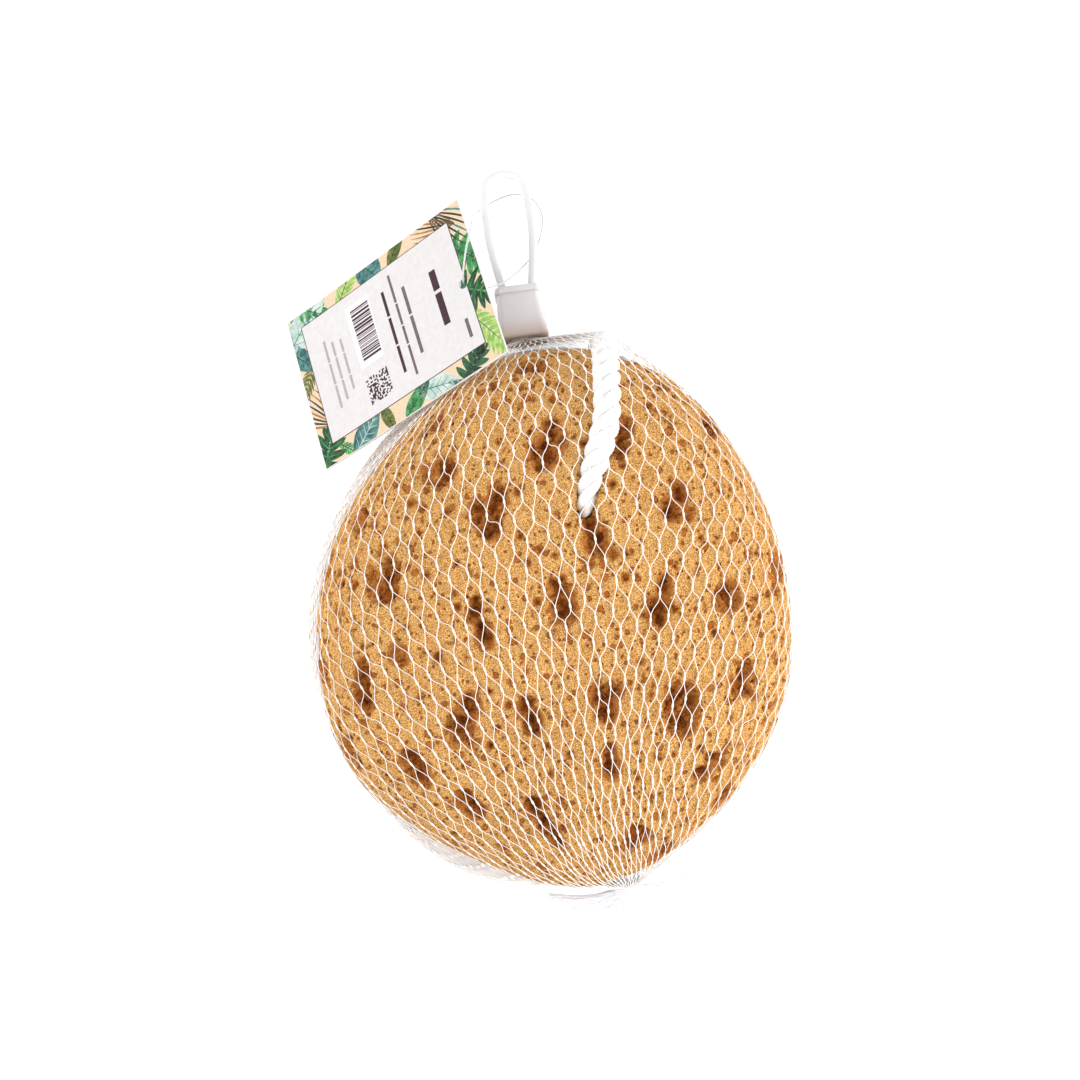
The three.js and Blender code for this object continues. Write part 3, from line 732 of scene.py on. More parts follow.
def hollow_depth(points, normals):
    """Depth of the large hollows, and how much painted shade each point gets in them."""
    depth, tone = np.zeros((2, len(points)))
    lean = math.radians(HOLLOW_LEAN)
    for centre, half_width, half_length, tilt, deep in hollow_lobes():
        gap = points - centre
        near = np.flatnonzero(np.einsum("ij,ij->i", gap, gap) < (max(half_width, half_length) * 1.9) ** 2)
        if len(near) == 0:
            continue
        nearest = near[np.argmin(np.einsum("ij,ij->i", gap[near], gap[near]))]
        normal = normals[nearest]
        up = np.array([math.sin(lean), math.cos(lean), 0.0]) if normal[2] > 0.5 else np.array([0, 0, 1.0])
        up = unit(up - normal * (up @ normal))
        side = np.cross(up, normal)
        u, v = gap[near] @ side, gap[near] @ up
        u, v = u * math.cos(tilt) + v * math.sin(tilt), -u * math.sin(tilt) + v * math.cos(tilt)
        ragged = 1.12 + 0.34 * noise_field(points[near], 0.42, 3) + 0.22 * noise_field(points[near], 1.1, 5)
        share = np.hypot(u / half_width, v / half_length) / ragged
        bowl = np.clip(1 - share ** 2.6, 0, 1) ** 0.7
        lumps = 0.78 + 0.45 * noise_field(points[near], 0.55, 9)
        depth[near] = np.maximum(depth[near], bowl * deep * 0.8 * lumps)
        tone[near] = np.maximum(tone[near], np.clip(1.3 - share, 0, 1) ** 0.8 * min(1.0, deep / 6.5) * lumps)
    return depth, tone


def round_pores(points, count, radii, deep, seed):
    """Depth of scattered round pores, and how much painted shade each point gets in them."""
    rng = np.random.default_rng(seed)
    depth, tone = np.zeros((2, len(points)))
    upper = np.flatnonzero(points[:, 2] > 18)
    for centre in rng.choice(upper, count, replace=False):
        radius = rng.uniform(*radii)
        gap = points - points[centre]
        near = np.flatnonzero((np.abs(gap) < radius * 1.3).all(1))
        share = np.linalg.norm(gap[near], axis=1) / radius
        bowl = np.clip(1 - share ** 2.5, 0, 1)
        depth[near] = np.maximum(depth[near], bowl * deep * radius)
        tone[near] = np.maximum(tone[near], bowl * rng.uniform(0.35, 0.75))
    return depth, tone


def rope_slim(path):
    """The rope's share of its full thickness along it: it is drawn in where it enters the foam."""
    along = np.linspace(0, lengths_along(path)[-1], len(path))
    return 0.55 + 0.45 * np.clip((along - 24) / 20, 0, 1) ** 0.8


def press_for_rope(points, normals, clearance, deepest):
    """Sinks points that lie on or over the rope to beneath it, along their normals."""
    path = smooth_path(ROPE_ROUTE, 1.2)
    radius = ROPE_RADIUS * rope_slim(path) + clearance
    near = np.flatnonzero(((points > path.min(0) - 9) & (points < path.max(0) + 9)).all(1))
    sink = np.zeros(len(near))
    for spot, reach in zip(path, radius):
        gap = spot - points[near]
        below = -np.einsum("ij,ij->i", gap, normals[near])
        aside = np.linalg.norm(gap + normals[near] * below[:, None], axis=1)
        under = (aside < reach) & (below < deepest)
        sink[under] = np.maximum(sink[under], below[under] + np.sqrt(reach ** 2 - aside[under] ** 2))
    points[near] -= normals[near] * np.minimum(sink, deepest)[:, None]
    return points


def make_foam():
    points, normals, quads = remeshed(pebble_rings(FOAM), **FOAM_MESH)
    depth, tone = hollow_depth(points, normals)
    for pores in PORES:
        more, more_tone = round_pores(points, *pores)
        depth = np.maximum(depth, 0) + more * PORE_SHARE
        tone = np.maximum(tone, more_tone)
    rough = noise_field(points, 0.75, 1) * 0.22 + noise_field(points, 0.16, 2) * 0.5
    points = points - normals * (depth - rough)[:, None]
    points = press_for_rope(points, normals, *ROPE_CHANNEL["foam"])
    foam = mesh_piece("foam_body", points, [quads], MATERIALS["foam"])
    # The hollows' and pores' painted shade, kept for the material.
    store(foam, "hollow_shade", tone)
    finish_piece(foam, "foam_sponge")


def store(piece, name, values):
    """Keeps a value for each point, for the material to read."""
    attribute = piece.data.attributes.new(name, "FLOAT", "POINT")
    attribute.data.foreach_set("value", np.asarray(values, np.float32))


def make_pad():
    points, normals, quads = remeshed(pebble_rings(PAD), **PAD_MESH)
    swell = noise_field(points, 0.07, 8) * 0.35
    points = points + normals * (swell - 0.2)[:, None]
    points = press_for_rope(points, normals, *ROPE_CHANNEL["pad"])
    pad = mesh_piece("backing_body", points, [quads], MATERIALS["pad"])
    finish_piece(pad, "backing_pad")


# ---- Rope ----

ROPE_STRANDS = 3
ROPE_LAY = 17.0
ROPE_PLIES = dict(count=6, depth=0.07, twist=0.55)


def make_rope():
    path = smooth_path(ROPE_ROUTE, 0.7)
    along = lengths_along(path)
    side, up = path_frames(path)
    slim = rope_slim(path)
    strand = ROPE_RADIUS * 0.5
    offset = (ROPE_RADIUS - strand) * slim
    around = np.linspace(0, 2 * math.pi, 20, endpoint=False)
    parts = Parts()
    for k in range(ROPE_STRANDS):
        turn = 2 * math.pi * (along / ROPE_LAY + k / ROPE_STRANDS)
        line = path + side * (np.cos(turn) * offset)[:, None] + up * (np.sin(turn) * offset)[:, None]
        tangent = unit(np.gradient(line, axis=0))
        out = unit(line - path - tangent * np.einsum("ij,ij->i", line - path, tangent)[:, None])
        across = np.cross(tangent, out)
        rings = []
        for i in range(len(line)):
            ply = 1 + ROPE_PLIES["depth"] * np.cos(ROPE_PLIES["count"] * (around + along[i] * ROPE_PLIES["twist"]))
            radius = strand * slim[i] * ply
            rings.append(line[i] + np.outer(np.cos(around) * radius, out[i])
                         + np.outer(np.sin(around) * radius, across[i]))
        parts.sweep(rings)
    rope = parts.piece("rope_cotton", "cotton", MATERIALS["cotton"])
    finish_piece(rope, "rope_loop")


# ---- Net ----


def hull_planes(points):
    """Outward unit normals and offsets of the planes that bound the convex hull."""
    work = bmesh.new()
    for p in points:
        work.verts.new(p)
    hull = bmesh.ops.convex_hull(work, input=work.verts, use_existing_faces=False)
    inner = points.mean(0)
    normals = []
    for face in hull["geom"]:
        if not isinstance(face, bmesh.types.BMFace):
            continue
        face.normal_update()
        if face.calc_area() < 1e-4:
            continue
        normal = np.array(face.normal, float)
        outward = np.array(face.calc_center_median(), float) - inner
        normals.append(normal if normal @ outward > 0 else -normal)
    work.free()
    normals = unit(np.unique(np.round(normals, 5), axis=0))
    offsets = np.concatenate([-(some @ points.T).max(1) for some in np.array_split(normals, 32)])
    return normals, offsets


def ball(centre, radius):
    """Points on a ball."""
    angles = np.linspace(0, 2 * math.pi, 16, endpoint=False)
    rings = [np.stack([np.cos(angles) * math.cos(t), np.sin(angles) * math.cos(t), np.full(16, math.sin(t))], 1)
             for t in np.linspace(-1.5, 1.5, 9)]
    return np.concatenate(rings) * radius + centre


def upright_oval(centre, half_width, half_height):
    """Points on an oval across the bag."""
    angles = np.linspace(0, 2 * math.pi, 24, endpoint=False)
    return np.asarray(centre) + np.stack([np.cos(angles) * half_width, np.zeros(24), np.sin(angles) * half_height], 1)


HALF_GIRTH_SAMPLES = 180


class NetSurface:
    """The taut surface that the bag lies on, by place round it (0 on top) and place along it."""

    def __init__(self):
        cloud = [pebble_rings(FOAM, NET_OFFSET).reshape(-1, 3), pebble_rings(PAD, NET_OFFSET).reshape(-1, 3)]
        cloud += [ball(p, ROPE_RADIUS + NET_OFFSET * 0.6) for p in smooth_path(ROPE_ROUTE[5:13], 5.0)]
        cloud += [upright_oval(**NECK), upright_oval(**WAIST)]
        self.normals, self.offsets = hull_planes(np.concatenate(cloud))
        self.foot, self.head = np.array(WAIST["centre"]), np.array(NECK["centre"])
        share = 0.5 - 0.5 * np.cos(np.linspace(0, math.pi, 81))
        self.stations = self.foot[1] + 0.02 + (self.head[1] - self.foot[1] - 0.04) * share
        self.rings = np.array([self.ring(y) for y in self.stations])

    def ring(self, y):
        """Points evenly round the surface at a place along it, from the top."""
        centre = self.foot + (self.head - self.foot) * (y - self.foot[1]) / (self.head[1] - self.foot[1])
        turn = np.linspace(-math.pi, math.pi, 2 * HALF_GIRTH_SAMPLES, endpoint=False)
        rays = np.stack([np.sin(turn), np.zeros_like(turn), np.cos(turn)], 1)
        facing = rays @ self.normals.T
        reach = np.where(facing > 1e-9, -(self.normals @ centre + self.offsets) / np.maximum(facing, 1e-9), np.inf)
        points = centre + rays * reach.min(1)[:, None]
        closed = np.vstack([points, points[:1]])
        along = lengths_along(closed)
        top = along[HALF_GIRTH_SAMPLES]
        even = (np.arange(2 * HALF_GIRTH_SAMPLES) / (2 * HALF_GIRTH_SAMPLES) * along[-1] + top) % along[-1]
        return np.stack([np.interp(even, along, closed[:, k]) for k in range(3)], 1)

    def at(self, around, along):
        """Points near the surface, between the rings kept."""
        y = self.foot[1] + (self.head[1] - self.foot[1]) * np.clip(along, 0, 1)
        row = np.interp(y, self.stations, np.arange(len(self.stations)))
        r = np.minimum(np.floor(row).astype(int), len(self.stations) - 2)
        count = self.rings.shape[1]
        column = (np.asarray(around) % 1.0) * count
        c = np.floor(column).astype(int)
        fr, fc = (row - r)[..., None], (column - c)[..., None]
        low = self.rings[r, c % count] * (1 - fc) + self.rings[r, (c + 1) % count] * fc
        high = self.rings[r + 1, c % count] * (1 - fc) + self.rings[r + 1, (c + 1) % count] * fc
        return low * (1 - fr) + high * fr

    def lift(self, points):
        """Points moved onto the surface, and the outward direction there."""
        out, facing = np.empty_like(points), np.empty_like(points)
        for start in range(0, len(points), 1500):
            some = points[start:start + 1500]
            depth = some @ self.normals.T + self.offsets
            best = depth.argmax(1)
            facing[start:start + 1500] = self.normals[best]
            out[start:start + 1500] = some - self.normals[best] * depth[np.arange(len(some)), best][:, None]
        return out, facing

    def bag(self, around, along):
        """Points of the whole bag, its neck and loose end included, and the outward direction there."""
        shape = around.shape
        around, along = around.ravel(), along.ravel()
        length = self.head[1] - self.foot[1]
        points = self.at(around, along)
        neck, tail = along > 1, along < 0
        deep = (along[neck, None] - 1) * length
        drawn = 1 - (1 - NECK_DRAWN) * deep / NECK_DEPTH
        points[neck] = self.head + (points[neck] - self.head) * drawn + hanger_frame()[1] * deep
        points[tail] = tail_point(around[tail], -along[tail] * length / TAIL_LENGTH)
        axis = self.foot + (self.head - self.foot) * along[:, None]
        facing = unit((points - axis) * (1, 0, 1) + (0, 0, 1e-6))
        body = (along > 0.01) & (along < 0.99)
        points[body], facing[body] = self.lift(points[body])
        return points.reshape(*shape, 3), facing.reshape(*shape, 3)


def tail_point(around, share):
    """The bag's loose end beyond its tie: share 0 at the tie, 1 at the frill's edge."""
    turn = 2 * math.pi * around
    share = np.clip(share, 0, 1)
    spread = share ** 1.15
    centre = np.array(WAIST["centre"]) + (np.array(TAIL["centre"]) - np.array(WAIST["centre"])) * share[..., None]
    half_width, half_height = (WAIST[key] + (TAIL[key] - WAIST[key]) * spread for key in ("half_width", "half_height"))
    ruffle = np.cos(TAIL["waves"] * turn) * TAIL["wave_depth"] * spread
    fold = (np.sin(11 * turn) * 1.2 + np.sin(4 * turn + 1) * 0.8) * spread
    x = np.sin(turn) * half_width + np.cos(9 * turn) * 0.7 * spread
    y = ruffle + TAIL["hug"] * np.sin(turn) ** 2 * spread ** 1.5
    return centre + np.stack([x, y, np.cos(turn) * half_height + fold], -1)


def net_lattice():
    """Joint places by half row and half column: round the bag and along it."""
    rows = np.arange(NET_FIRST_ROW, NET_LAST_ROW + 1)
    row, column = np.meshgrid(rows, np.arange(NET_HALF_COLUMNS), indexing="ij")
    even = column / NET_HALF_COLUMNS
    table_row, table_column = (row - NET_TABLE_ROW) / 4.0, even * 8
    around = even + table_value(NET_AROUND, table_row, table_column)
    along = table_value(NET_ALONG, table_row, table_column)
    rng = np.random.default_rng(5)
    slack = np.clip(np.minimum(along, 1 - along) * 12, 0.1, 1)  # joints wander less near the bag's ends
    around = around + rng.normal(0, NET_WANDER[0], around.shape) * slack
    along = along + rng.normal(0, NET_WANDER[1], along.shape) * slack
    return around, along


def tube_set(lines, radii, facing, sides):
    """Many tubes at once, closed at both ends: lines (n, k, 3), radii (n, k), sides turned to the facing."""
    tangent = unit(np.gradient(lines, axis=1))
    across = unit(np.cross(tangent, facing))
    out = np.cross(across, tangent)
    turn = np.linspace(0, 2 * math.pi, sides, endpoint=False)
    rings = lines[:, :, None] + radii[:, :, None, None] * (
        np.cos(turn)[:, None] * across[:, :, None] + np.sin(turn)[:, None] * out[:, :, None])
    n, k = lines.shape[:2]
    points = rings.reshape(-1, 3)
    tube = np.arange(n)[:, None, None] * k * sides
    ring = np.arange(k - 1)[None, :, None] * sides
    side = np.arange(sides)[None, None]
    beside = (side + 1) % sides
    quads = np.stack([tube + ring + side, tube + ring + beside, tube + ring + sides + beside,
                      tube + ring + sides + side], -1).reshape(-1, 4)
    first = tube[:, 0] + np.arange(sides)[::-1]
    last = tube[:, 0] + (k - 1) * sides + np.arange(sides)
    return points, quads, first, last


def make_net():
    surface = NetSurface()
    around, along = net_lattice()
    rows, columns = around.shape
    places = np.stack([around, along], -1)
    slope = np.gradient(places, axis=0)
    joints, _ = surface.bag(around, along)
    spacing = np.linalg.norm(np.gradient(joints, axis=0), axis=-1)
    girth = np.linalg.norm(np.roll(joints, -1, 1) - joints, axis=-1)
    half = np.minimum(JOINT_LENGTH / 2 / np.maximum(spacing, 0.1), 0.2)
    size = np.clip(girth / FULL_SIZE_GIRTH, 0.4, 1.0)
    length = surface.head[1] - surface.foot[1]
    last, first = -TAIL_LENGTH / length, 1 + NECK_DEPTH / length

    row, column = np.meshgrid(np.arange(rows), np.arange(columns), indexing="ij")
    used = ((row + NET_FIRST_ROW + column) % 2 == 0) & (along > last) & (along < first)
    at = (row[used], column[used])
    lobes, girths = np.array(JOINT_PROFILE).T
    spots = places[at][:, None] + slope[at][:, None] * (half[at][:, None] * lobes)[..., None]
    blobs, blob_facing = surface.bag(spots[..., 0], spots[..., 1])
    blob_radii = (size[at] * JOINT_RADIUS)[:, None] * girths

    # Strands leave each joint along the bag and bend over to the next one, a half column to either side.
    steps = np.linspace(0, 1, 7)
    t = steps[None, :, None]
    blend = (2 * t ** 3 - 3 * t ** 2 + 1, t ** 3 - 2 * t ** 2 + t, -2 * t ** 3 + 3 * t ** 2, t ** 3 - t ** 2)
    rng = np.random.default_rng(11)
    spots, strand_size = [], []
    for step in (1, -1):
        start = used & (row < rows - 1)
        a = (row[start], column[start])
        b = (row[start] + 1, (column[start] + step) % columns)
        wrap = np.stack([(column[start] + step) // columns, np.zeros(len(a[0]))], -1)
        begin = places[a] + slope[a] * (half[a] * STRAND_OVERLAP)[:, None]
        end = places[b] + wrap - slope[b] * (half[b] * STRAND_OVERLAP)[:, None]
        pull = rng.uniform(0.9, 1.5, len(begin))[:, None, None]
        spots.append(blend[0] * begin[:, None] + blend[1] * pull * slope[a][:, None]
                     + blend[2] * end[:, None] + blend[3] * pull * slope[b][:, None])
        strand_size.append(np.minimum(size[a], size[b]))
    spots, strand_size = np.concatenate(spots), np.concatenate(strand_size)
    spots[..., 1] = np.clip(spots[..., 1], last, first)
    strands, strand_facing = surface.bag(spots[..., 0], spots[..., 1])
    swell = 1 + 0.12 * (np.abs(steps - 0.5) * 2) ** 6
    strand_radii = STRAND_RADIUS * (0.6 + 0.4 * strand_size)[:, None] * swell

    # The middle point of a strand is its fourth, and of a joint its third.
    loose, loose_blob = spots[:, 3, 1] < 0, blobs[:, 2, 1] < surface.foot[1]
    strand_radii[loose] *= LOOSE_END_STRANDS
    front, front_blob = strand_facing[:, 3, 2] > 0, blob_facing[:, 2, 2] > 0
    # The loose end takes the net's shaded copy, painted darker and lavender.
    for name, material, some, some_blobs in (
            ("net_front", "net", front & ~loose, front_blob & ~loose_blob),
            ("net_back", "net", ~front & ~loose, ~front_blob & ~loose_blob),
            ("net_tail", "tail", loose, loose_blob)):
        parts = Parts()
        parts.add(*tube_set(strands[some], strand_radii[some], strand_facing[some], NET_SIDES))
        parts.add(*tube_set(blobs[some_blobs], blob_radii[some_blobs], blob_facing[some_blobs], NET_SIDES))
        finish_piece(parts.piece(name, "net", MATERIALS[material]), "net_bag")


def make_tie():
    """A few turns of strand wound round the bag's gathered foot."""
    turn = np.linspace(0, TIE["turns"] * 2 * math.pi, TIE["turns"] * 24)
    out = TIE["radius"] + TIE["gap"]
    x = (WAIST["half_width"] + out) * np.cos(turn)
    z = (WAIST["half_height"] + out) * np.sin(turn)
    y = (turn / turn[-1] - 0.5) * TIE["pitch"] * TIE["turns"] - TIE["pitch"]
    line = np.array(WAIST["centre"]) + np.stack([x, y, z], 1)
    side, up = path_frames(line)
    around = np.linspace(0, 2 * math.pi, 8, endpoint=False)
    rings = line[:, None] + TIE["radius"] * (np.cos(around)[:, None] * side[:, None]
                                             + np.sin(around)[:, None] * up[:, None])
    parts = Parts()
    parts.sweep(rings)
    # The tie takes the net's shaded copy, painted darker and lavender.
    finish_piece(parts.piece("net_tie", "net", MATERIALS["tail"]), "net_bag")


# ---- Hanger ----


def hanger_frame():
    """The hanger's own directions: across it, along it from its foot, and up through it."""
    yaw, pitch = math.radians(HANGER["yaw"]), math.radians(HANGER["pitch"])
    along = np.array([math.sin(yaw) * math.cos(pitch), math.cos(yaw) * math.cos(pitch), -math.sin(pitch)])
    side = np.array([math.cos(yaw), -math.sin(yaw), 0.0])
    return side, along, np.cross(side, along)


def on_hanger(points):
    """Points given across, along and up the hanger."""
    side, along, up = hanger_frame()
    points = np.asarray(points, float)
    return np.asarray(HANGER["foot"]) + points[..., :1] * side + points[..., 1:2] * along + points[..., 2:3] * up


def rounded_section(width, depth, corner, y, per_corner=8):
    """A rounded rectangle across the hanger at a distance along it."""
    spots = []
    for cx, cz, start in ((1, 1, 0), (-1, 1, 90), (-1, -1, 180), (1, -1, 270)):
        for angle in np.linspace(start, start + 90, per_corner):
            turn = math.radians(angle)
            spots.append((cx * (width / 2 - corner) + corner * math.cos(turn), y,
                          cz * (depth / 2 - corner) + corner * math.sin(turn)))
    return spots[::-1]


def eye_outline(inset):
    """The eye's outline from foot to foot, drawn in by the inset."""
    side = [(half - inset, share * EYE["length"]) for share, half in EYE_SIDE]
    top = EYE["length"] - inset
    outer = EYE_SIDE[-1][1]
    shoulder = (outer * EYE_SHOULDER["share"] - inset * 0.6, top - EYE_SHOULDER["drop"] + inset * 0.2)
    upper = (outer * 0.9 - inset, EYE["length"] * 0.89 - inset * 0.5)
    right = [*side, upper, shoulder]
    return right + [(0.0, top)] + [(-x, y) for x, y in right[::-1]]


def make_hanger():
    parts = Parts()
    rings = []
    for y, grow in ((0.0, -0.55), (0.25, -0.22), (0.8, 0.0)):
        rings.append(rounded_section(BLOCK["foot_width"] + 2 * grow, BLOCK["foot_depth"] + 2 * grow,
                                     BLOCK["corner"], y))
    for share in np.linspace(0.12, 0.97, 8):
        width = BLOCK["foot_width"] + (BLOCK["head_width"] - BLOCK["foot_width"]) * share
        depth = BLOCK["foot_depth"] + (BLOCK["head_depth"] - BLOCK["foot_depth"]) * share
        rings.append(rounded_section(width, depth, BLOCK["corner"], share * BLOCK["length"]))
    socket = []
    turn = np.linspace(0, 2 * math.pi, len(rings[0]), endpoint=False)[::-1]
    for y, shrink in ((0.0, -0.25), (0.5, 0.0), (SOCKET["depth"] - 1.0, 0.2), (SOCKET["depth"], 1.2)):
        width, depth = SOCKET["half_width"] - shrink, SOCKET["half_depth"] - shrink
        socket.append([(width * math.cos(a), y, depth * math.sin(a)) for a in turn])
    parts.sweep(socket[::-1] + rings, on_hanger)

    lip_low = BLOCK["length"] - LIP["length"] / 2
    lip = []
    for y, shrink in ((0.0, 1.4), (0.0, 0.5), (0.18, 0.14), (0.5, 0.0), (LIP["length"] - 0.5, 0.0),
                      (LIP["length"] - 0.18, 0.14), (LIP["length"], 0.5), (LIP["length"], 1.6)):
        lip.append(rounded_section(LIP["width"] - 2 * shrink, LIP["depth"] - 2 * shrink,
                                   max(LIP["corner"] - shrink, 0.6), lip_low + y))
    parts.sweep(lip, on_hanger)

    middle = smooth_path([(x, y, 0) for x, y in eye_outline(EYE["bar"] / 2)], 0.6)
    tangents = unit(np.gradient(middle, axis=0))
    across = np.cross(tangents, (0, 0, 1))
    corners = np.linspace(0, 2 * math.pi, 20, endpoint=False)
    wide = np.sign(np.cos(corners)) * np.abs(np.cos(corners)) ** EYE["squareness"] * EYE["bar"] / 2
    thick = np.sign(np.sin(corners)) * np.abs(np.sin(corners)) ** EYE["squareness"] * EYE["thickness"] / 2
    rise = BLOCK["length"] + LIP["length"] / 2 - EYE["sunk"]
    rings = middle[:, None] + across[:, None] * wide[:, None] + thick[:, None] * (0, 0, 1) + (0, rise, 0)
    parts.sweep(rings, on_hanger)
    hanger = parts.piece("hanger_moulding", "plastic", MATERIALS["plastic"])
    own = (np.concatenate(parts.points) - HANGER["foot"]) @ hanger_frame()[1]
    # A value that rises toward the foot, which the material reads for its painted shade and reflected brown there.
    levels = (0, 7, 15, BLOCK["length"] + 1, BLOCK["length"] + 4)
    store(hanger, "thick", np.interp(own, levels, (1, 0.55, 0.5, 0.3, 0)))
    finish_piece(hanger, "hanger")


# ---- Card ----


def card_axes():
    """The card's own directions: along it, across it and out of its printed face."""
    along = unit(CARD_ALONG)
    face = unit(np.cross(along, unit(CARD_ACROSS)))
    return along, np.cross(face, along), -face


def on_card(points, lift=0.0):
    """Points (along, across) on the card's printed face, lifted off it."""
    along, across, up = card_axes()
    points = np.asarray(points, float)
    bend = card_bend(points[..., 0])
    return (np.asarray(CARD_CORNER) + points[..., :1] * along + points[..., 1:2] * across
            + up * (CARD["thickness"] / 2 + lift + bend)[..., None])


def card_bend(along):
    """A slight curl of the card's low end."""
    far = np.clip((CARD_CURL["reach"] - along) / CARD_CURL["reach"], 0, 1)
    return far ** 2 * CARD_CURL["rise"]


def holed_strips(low, high, steps):
    """A box as strips across it, each in two parts, below and above the card's hole."""
    hole_at, middle, radius = CARD_HOLE["along"], CARD_HOLE["across"], CARD_HOLE["radius"]
    round_hole = hole_at - radius * np.cos(np.linspace(0, math.pi, 17))
    stations = np.unique(np.concatenate([np.linspace(low[0], high[0], steps + 1), np.round(round_hole, 4)]))
    stations = stations[(stations >= low[0]) & (stations <= high[0])]
    reach = np.sqrt(np.clip(radius ** 2 - (stations - hole_at) ** 2, 0, None))
    reach[reach < 0.02] = 0
    for a, b, ra, rb in zip(stations[:-1], stations[1:], reach[:-1], reach[1:]):
        yield [(a, low[1]), (b, low[1]), (b, middle - rb), (a, middle - ra)]
        yield [(a, middle + ra), (b, middle + rb), (b, high[1]), (a, high[1])]


def make_card():
    parts = Parts()
    for strip in holed_strips((0, 0), (CARD["length"], CARD["width"]), 47):
        top, bottom = on_card(strip), on_card(strip, -CARD["thickness"])
        parts.add(np.concatenate([top, bottom]), [[3, 2, 1, 0]], [[4, 5, 6, 7]], [[0, 1, 5, 4]], [[2, 3, 7, 6]])
        for at_end, wall in ((strip[0][0] == 0, [[3, 0, 4, 7]]), (strip[1][0] == CARD["length"], [[1, 2, 6, 5]])):
            if at_end:
                parts.add(np.concatenate([top, bottom]), wall)
    card = parts.piece("tag_card_body", "card", MATERIALS["card"], smooth=False)
    weld(card)
    finish_piece(card, "tag_card")


def weld(piece):
    """Joins a piece's strips into one closed skin: walls that two strips share are dropped."""
    work = bmesh.new()
    work.from_mesh(piece.data)
    bmesh.ops.remove_doubles(work, verts=work.verts, dist=2e-6)
    inside = [face for face in work.faces if face.calc_area() < 1e-12]
    seen = {}
    for face in work.faces:
        seen.setdefault(frozenset(vert.index for vert in face.verts), []).append(face)
    inside += [face for same in seen.values() if len(same) > 1 for face in same]
    bmesh.ops.delete(work, geom=list(set(inside)), context="FACES_ONLY")
    bmesh.ops.delete(work, geom=[edge for edge in work.edges if not edge.link_faces], context="EDGES")
    work.to_mesh(piece.data)
    work.free()


PRINT_LOW = (PRINT_INSET, PRINT_INSET)
PRINT_HIGH = (CARD["length"] - PRINT_INSET, CARD["width"] - PRINT_INSET)


class Print:
    """Flat shapes printed on the card, in layers, each shape clipped to the card."""

    def __init__(self, name):
        self.name, self.shapes = name, []

    def shape(self, ink, outline, layer):
        points = [tuple(p) for p in outline]
        for axis in (0, 1):
            for bound, sign in ((PRINT_LOW[axis], 1), (PRINT_HIGH[axis], -1)):
                points = clip(points, axis, bound, sign)
        if len(points) >= 3:
            self.shapes.append((ink, points, layer))

    def strip(self, ink, line, widths, layer):
        """A strip of quads along a line."""
        line, widths = np.asarray(line, float), np.asarray(widths, float)
        across = unit(np.gradient(line, axis=0))[:, ::-1] * (1, -1)
        left, right = line + across * widths[:, None] / 2, line - across * widths[:, None] / 2
        for i in range(len(line) - 1):
            self.shape(ink, [left[i], right[i], right[i + 1], left[i + 1]], layer)

    def holed_box(self, ink, low, high, layer):
        """A box with the card's hole left out."""
        for strip in holed_strips(low, high, 40):
            self.shape(ink, strip, layer)

    def box(self, ink, low, high, layer, steps=1):
        edges = np.linspace(low[0], high[0], steps + 1)
        for a, b in zip(edges[:-1], edges[1:]):
            self.shape(ink, [(a, low[1]), (b, low[1]), (b, high[1]), (a, high[1])], layer)

    def piece(self):
        inks = sorted({ink for ink, _, _ in self.shapes})
        points, faces, materials = [], [], []
        for ink, outline, layer in self.shapes:
            flat = np.array(outline)
            turn = np.roll(flat, -1, 0)
            if (flat[:, 0] * turn[:, 1] - turn[:, 0] * flat[:, 1]).sum() > 0:
                flat = flat[::-1]
            faces.append(tuple(range(len(points), len(points) + len(flat))))
            points += on_card(flat, PRINT_LIFT + PRINT_LAYER * layer).tolist()
            materials.append(inks.index(ink))
        piece = mesh_piece(self.name, points, [[face] for face in faces], MATERIALS[inks[0]], smooth=False)
        for ink in inks[1:]:
            piece.data.materials.append(MATERIALS[ink])
        piece.data.polygons.foreach_set("material_index", materials)
        finish_piece(piece, "tag_card")


def clip(points, axis, bound, sign):
    """The part of a flat shape on one side of a line."""
    kept = []
    for here, after in zip(points, points[1:] + points[:1]):
        inside, next_inside = sign * (here[axis] - bound) >= 0, sign * (after[axis] - bound) >= 0
        if inside:
            kept.append(here)
        if inside != next_inside:
            t = (bound - here[axis]) / (after[axis] - here[axis])
            kept.append((here[0] + t * (after[0] - here[0]), here[1] + t * (after[1] - here[1])))
    return kept


def leaf_axes(foot, tip):
    """A leaf's foot, its directions along and across, and its length."""
    foot, tip = np.array(foot, float), np.array(tip, float)
    length = np.linalg.norm(tip - foot)
    along = (tip - foot) / length
    return foot, along, np.array([-along[1], along[0]]), length


def blade(art, foot, tip, width, ink, rib):
    """A plain pointed leaf with ribs."""
    foot, along, side, length = leaf_axes(foot, tip)
    share = np.linspace(0, 1, 15)
    half = width / 2 * np.sin(math.pi * share ** 0.8) ** 0.8
    line = foot + np.outer(share * length, along)
    for sign in (1, -1):
        edge = line + np.outer(half * sign, side)
        for i in range(len(line) - 1):
            art.shape(ink, [line[i], line[i + 1], edge[i + 1], edge[i]], 1)
        for i in range(2, len(line) - 3, 2):
            end = line[i] + side * half[i + 2] * sign * 0.8 + along * length * 0.14
            art.strip(rib, [line[i], (line[i] + end) / 2 + along * 0.2, end], [0.28, 0.2, 0.08], 2)
    art.strip(rib, line, np.linspace(0.5, 0.12, len(line)), 2)


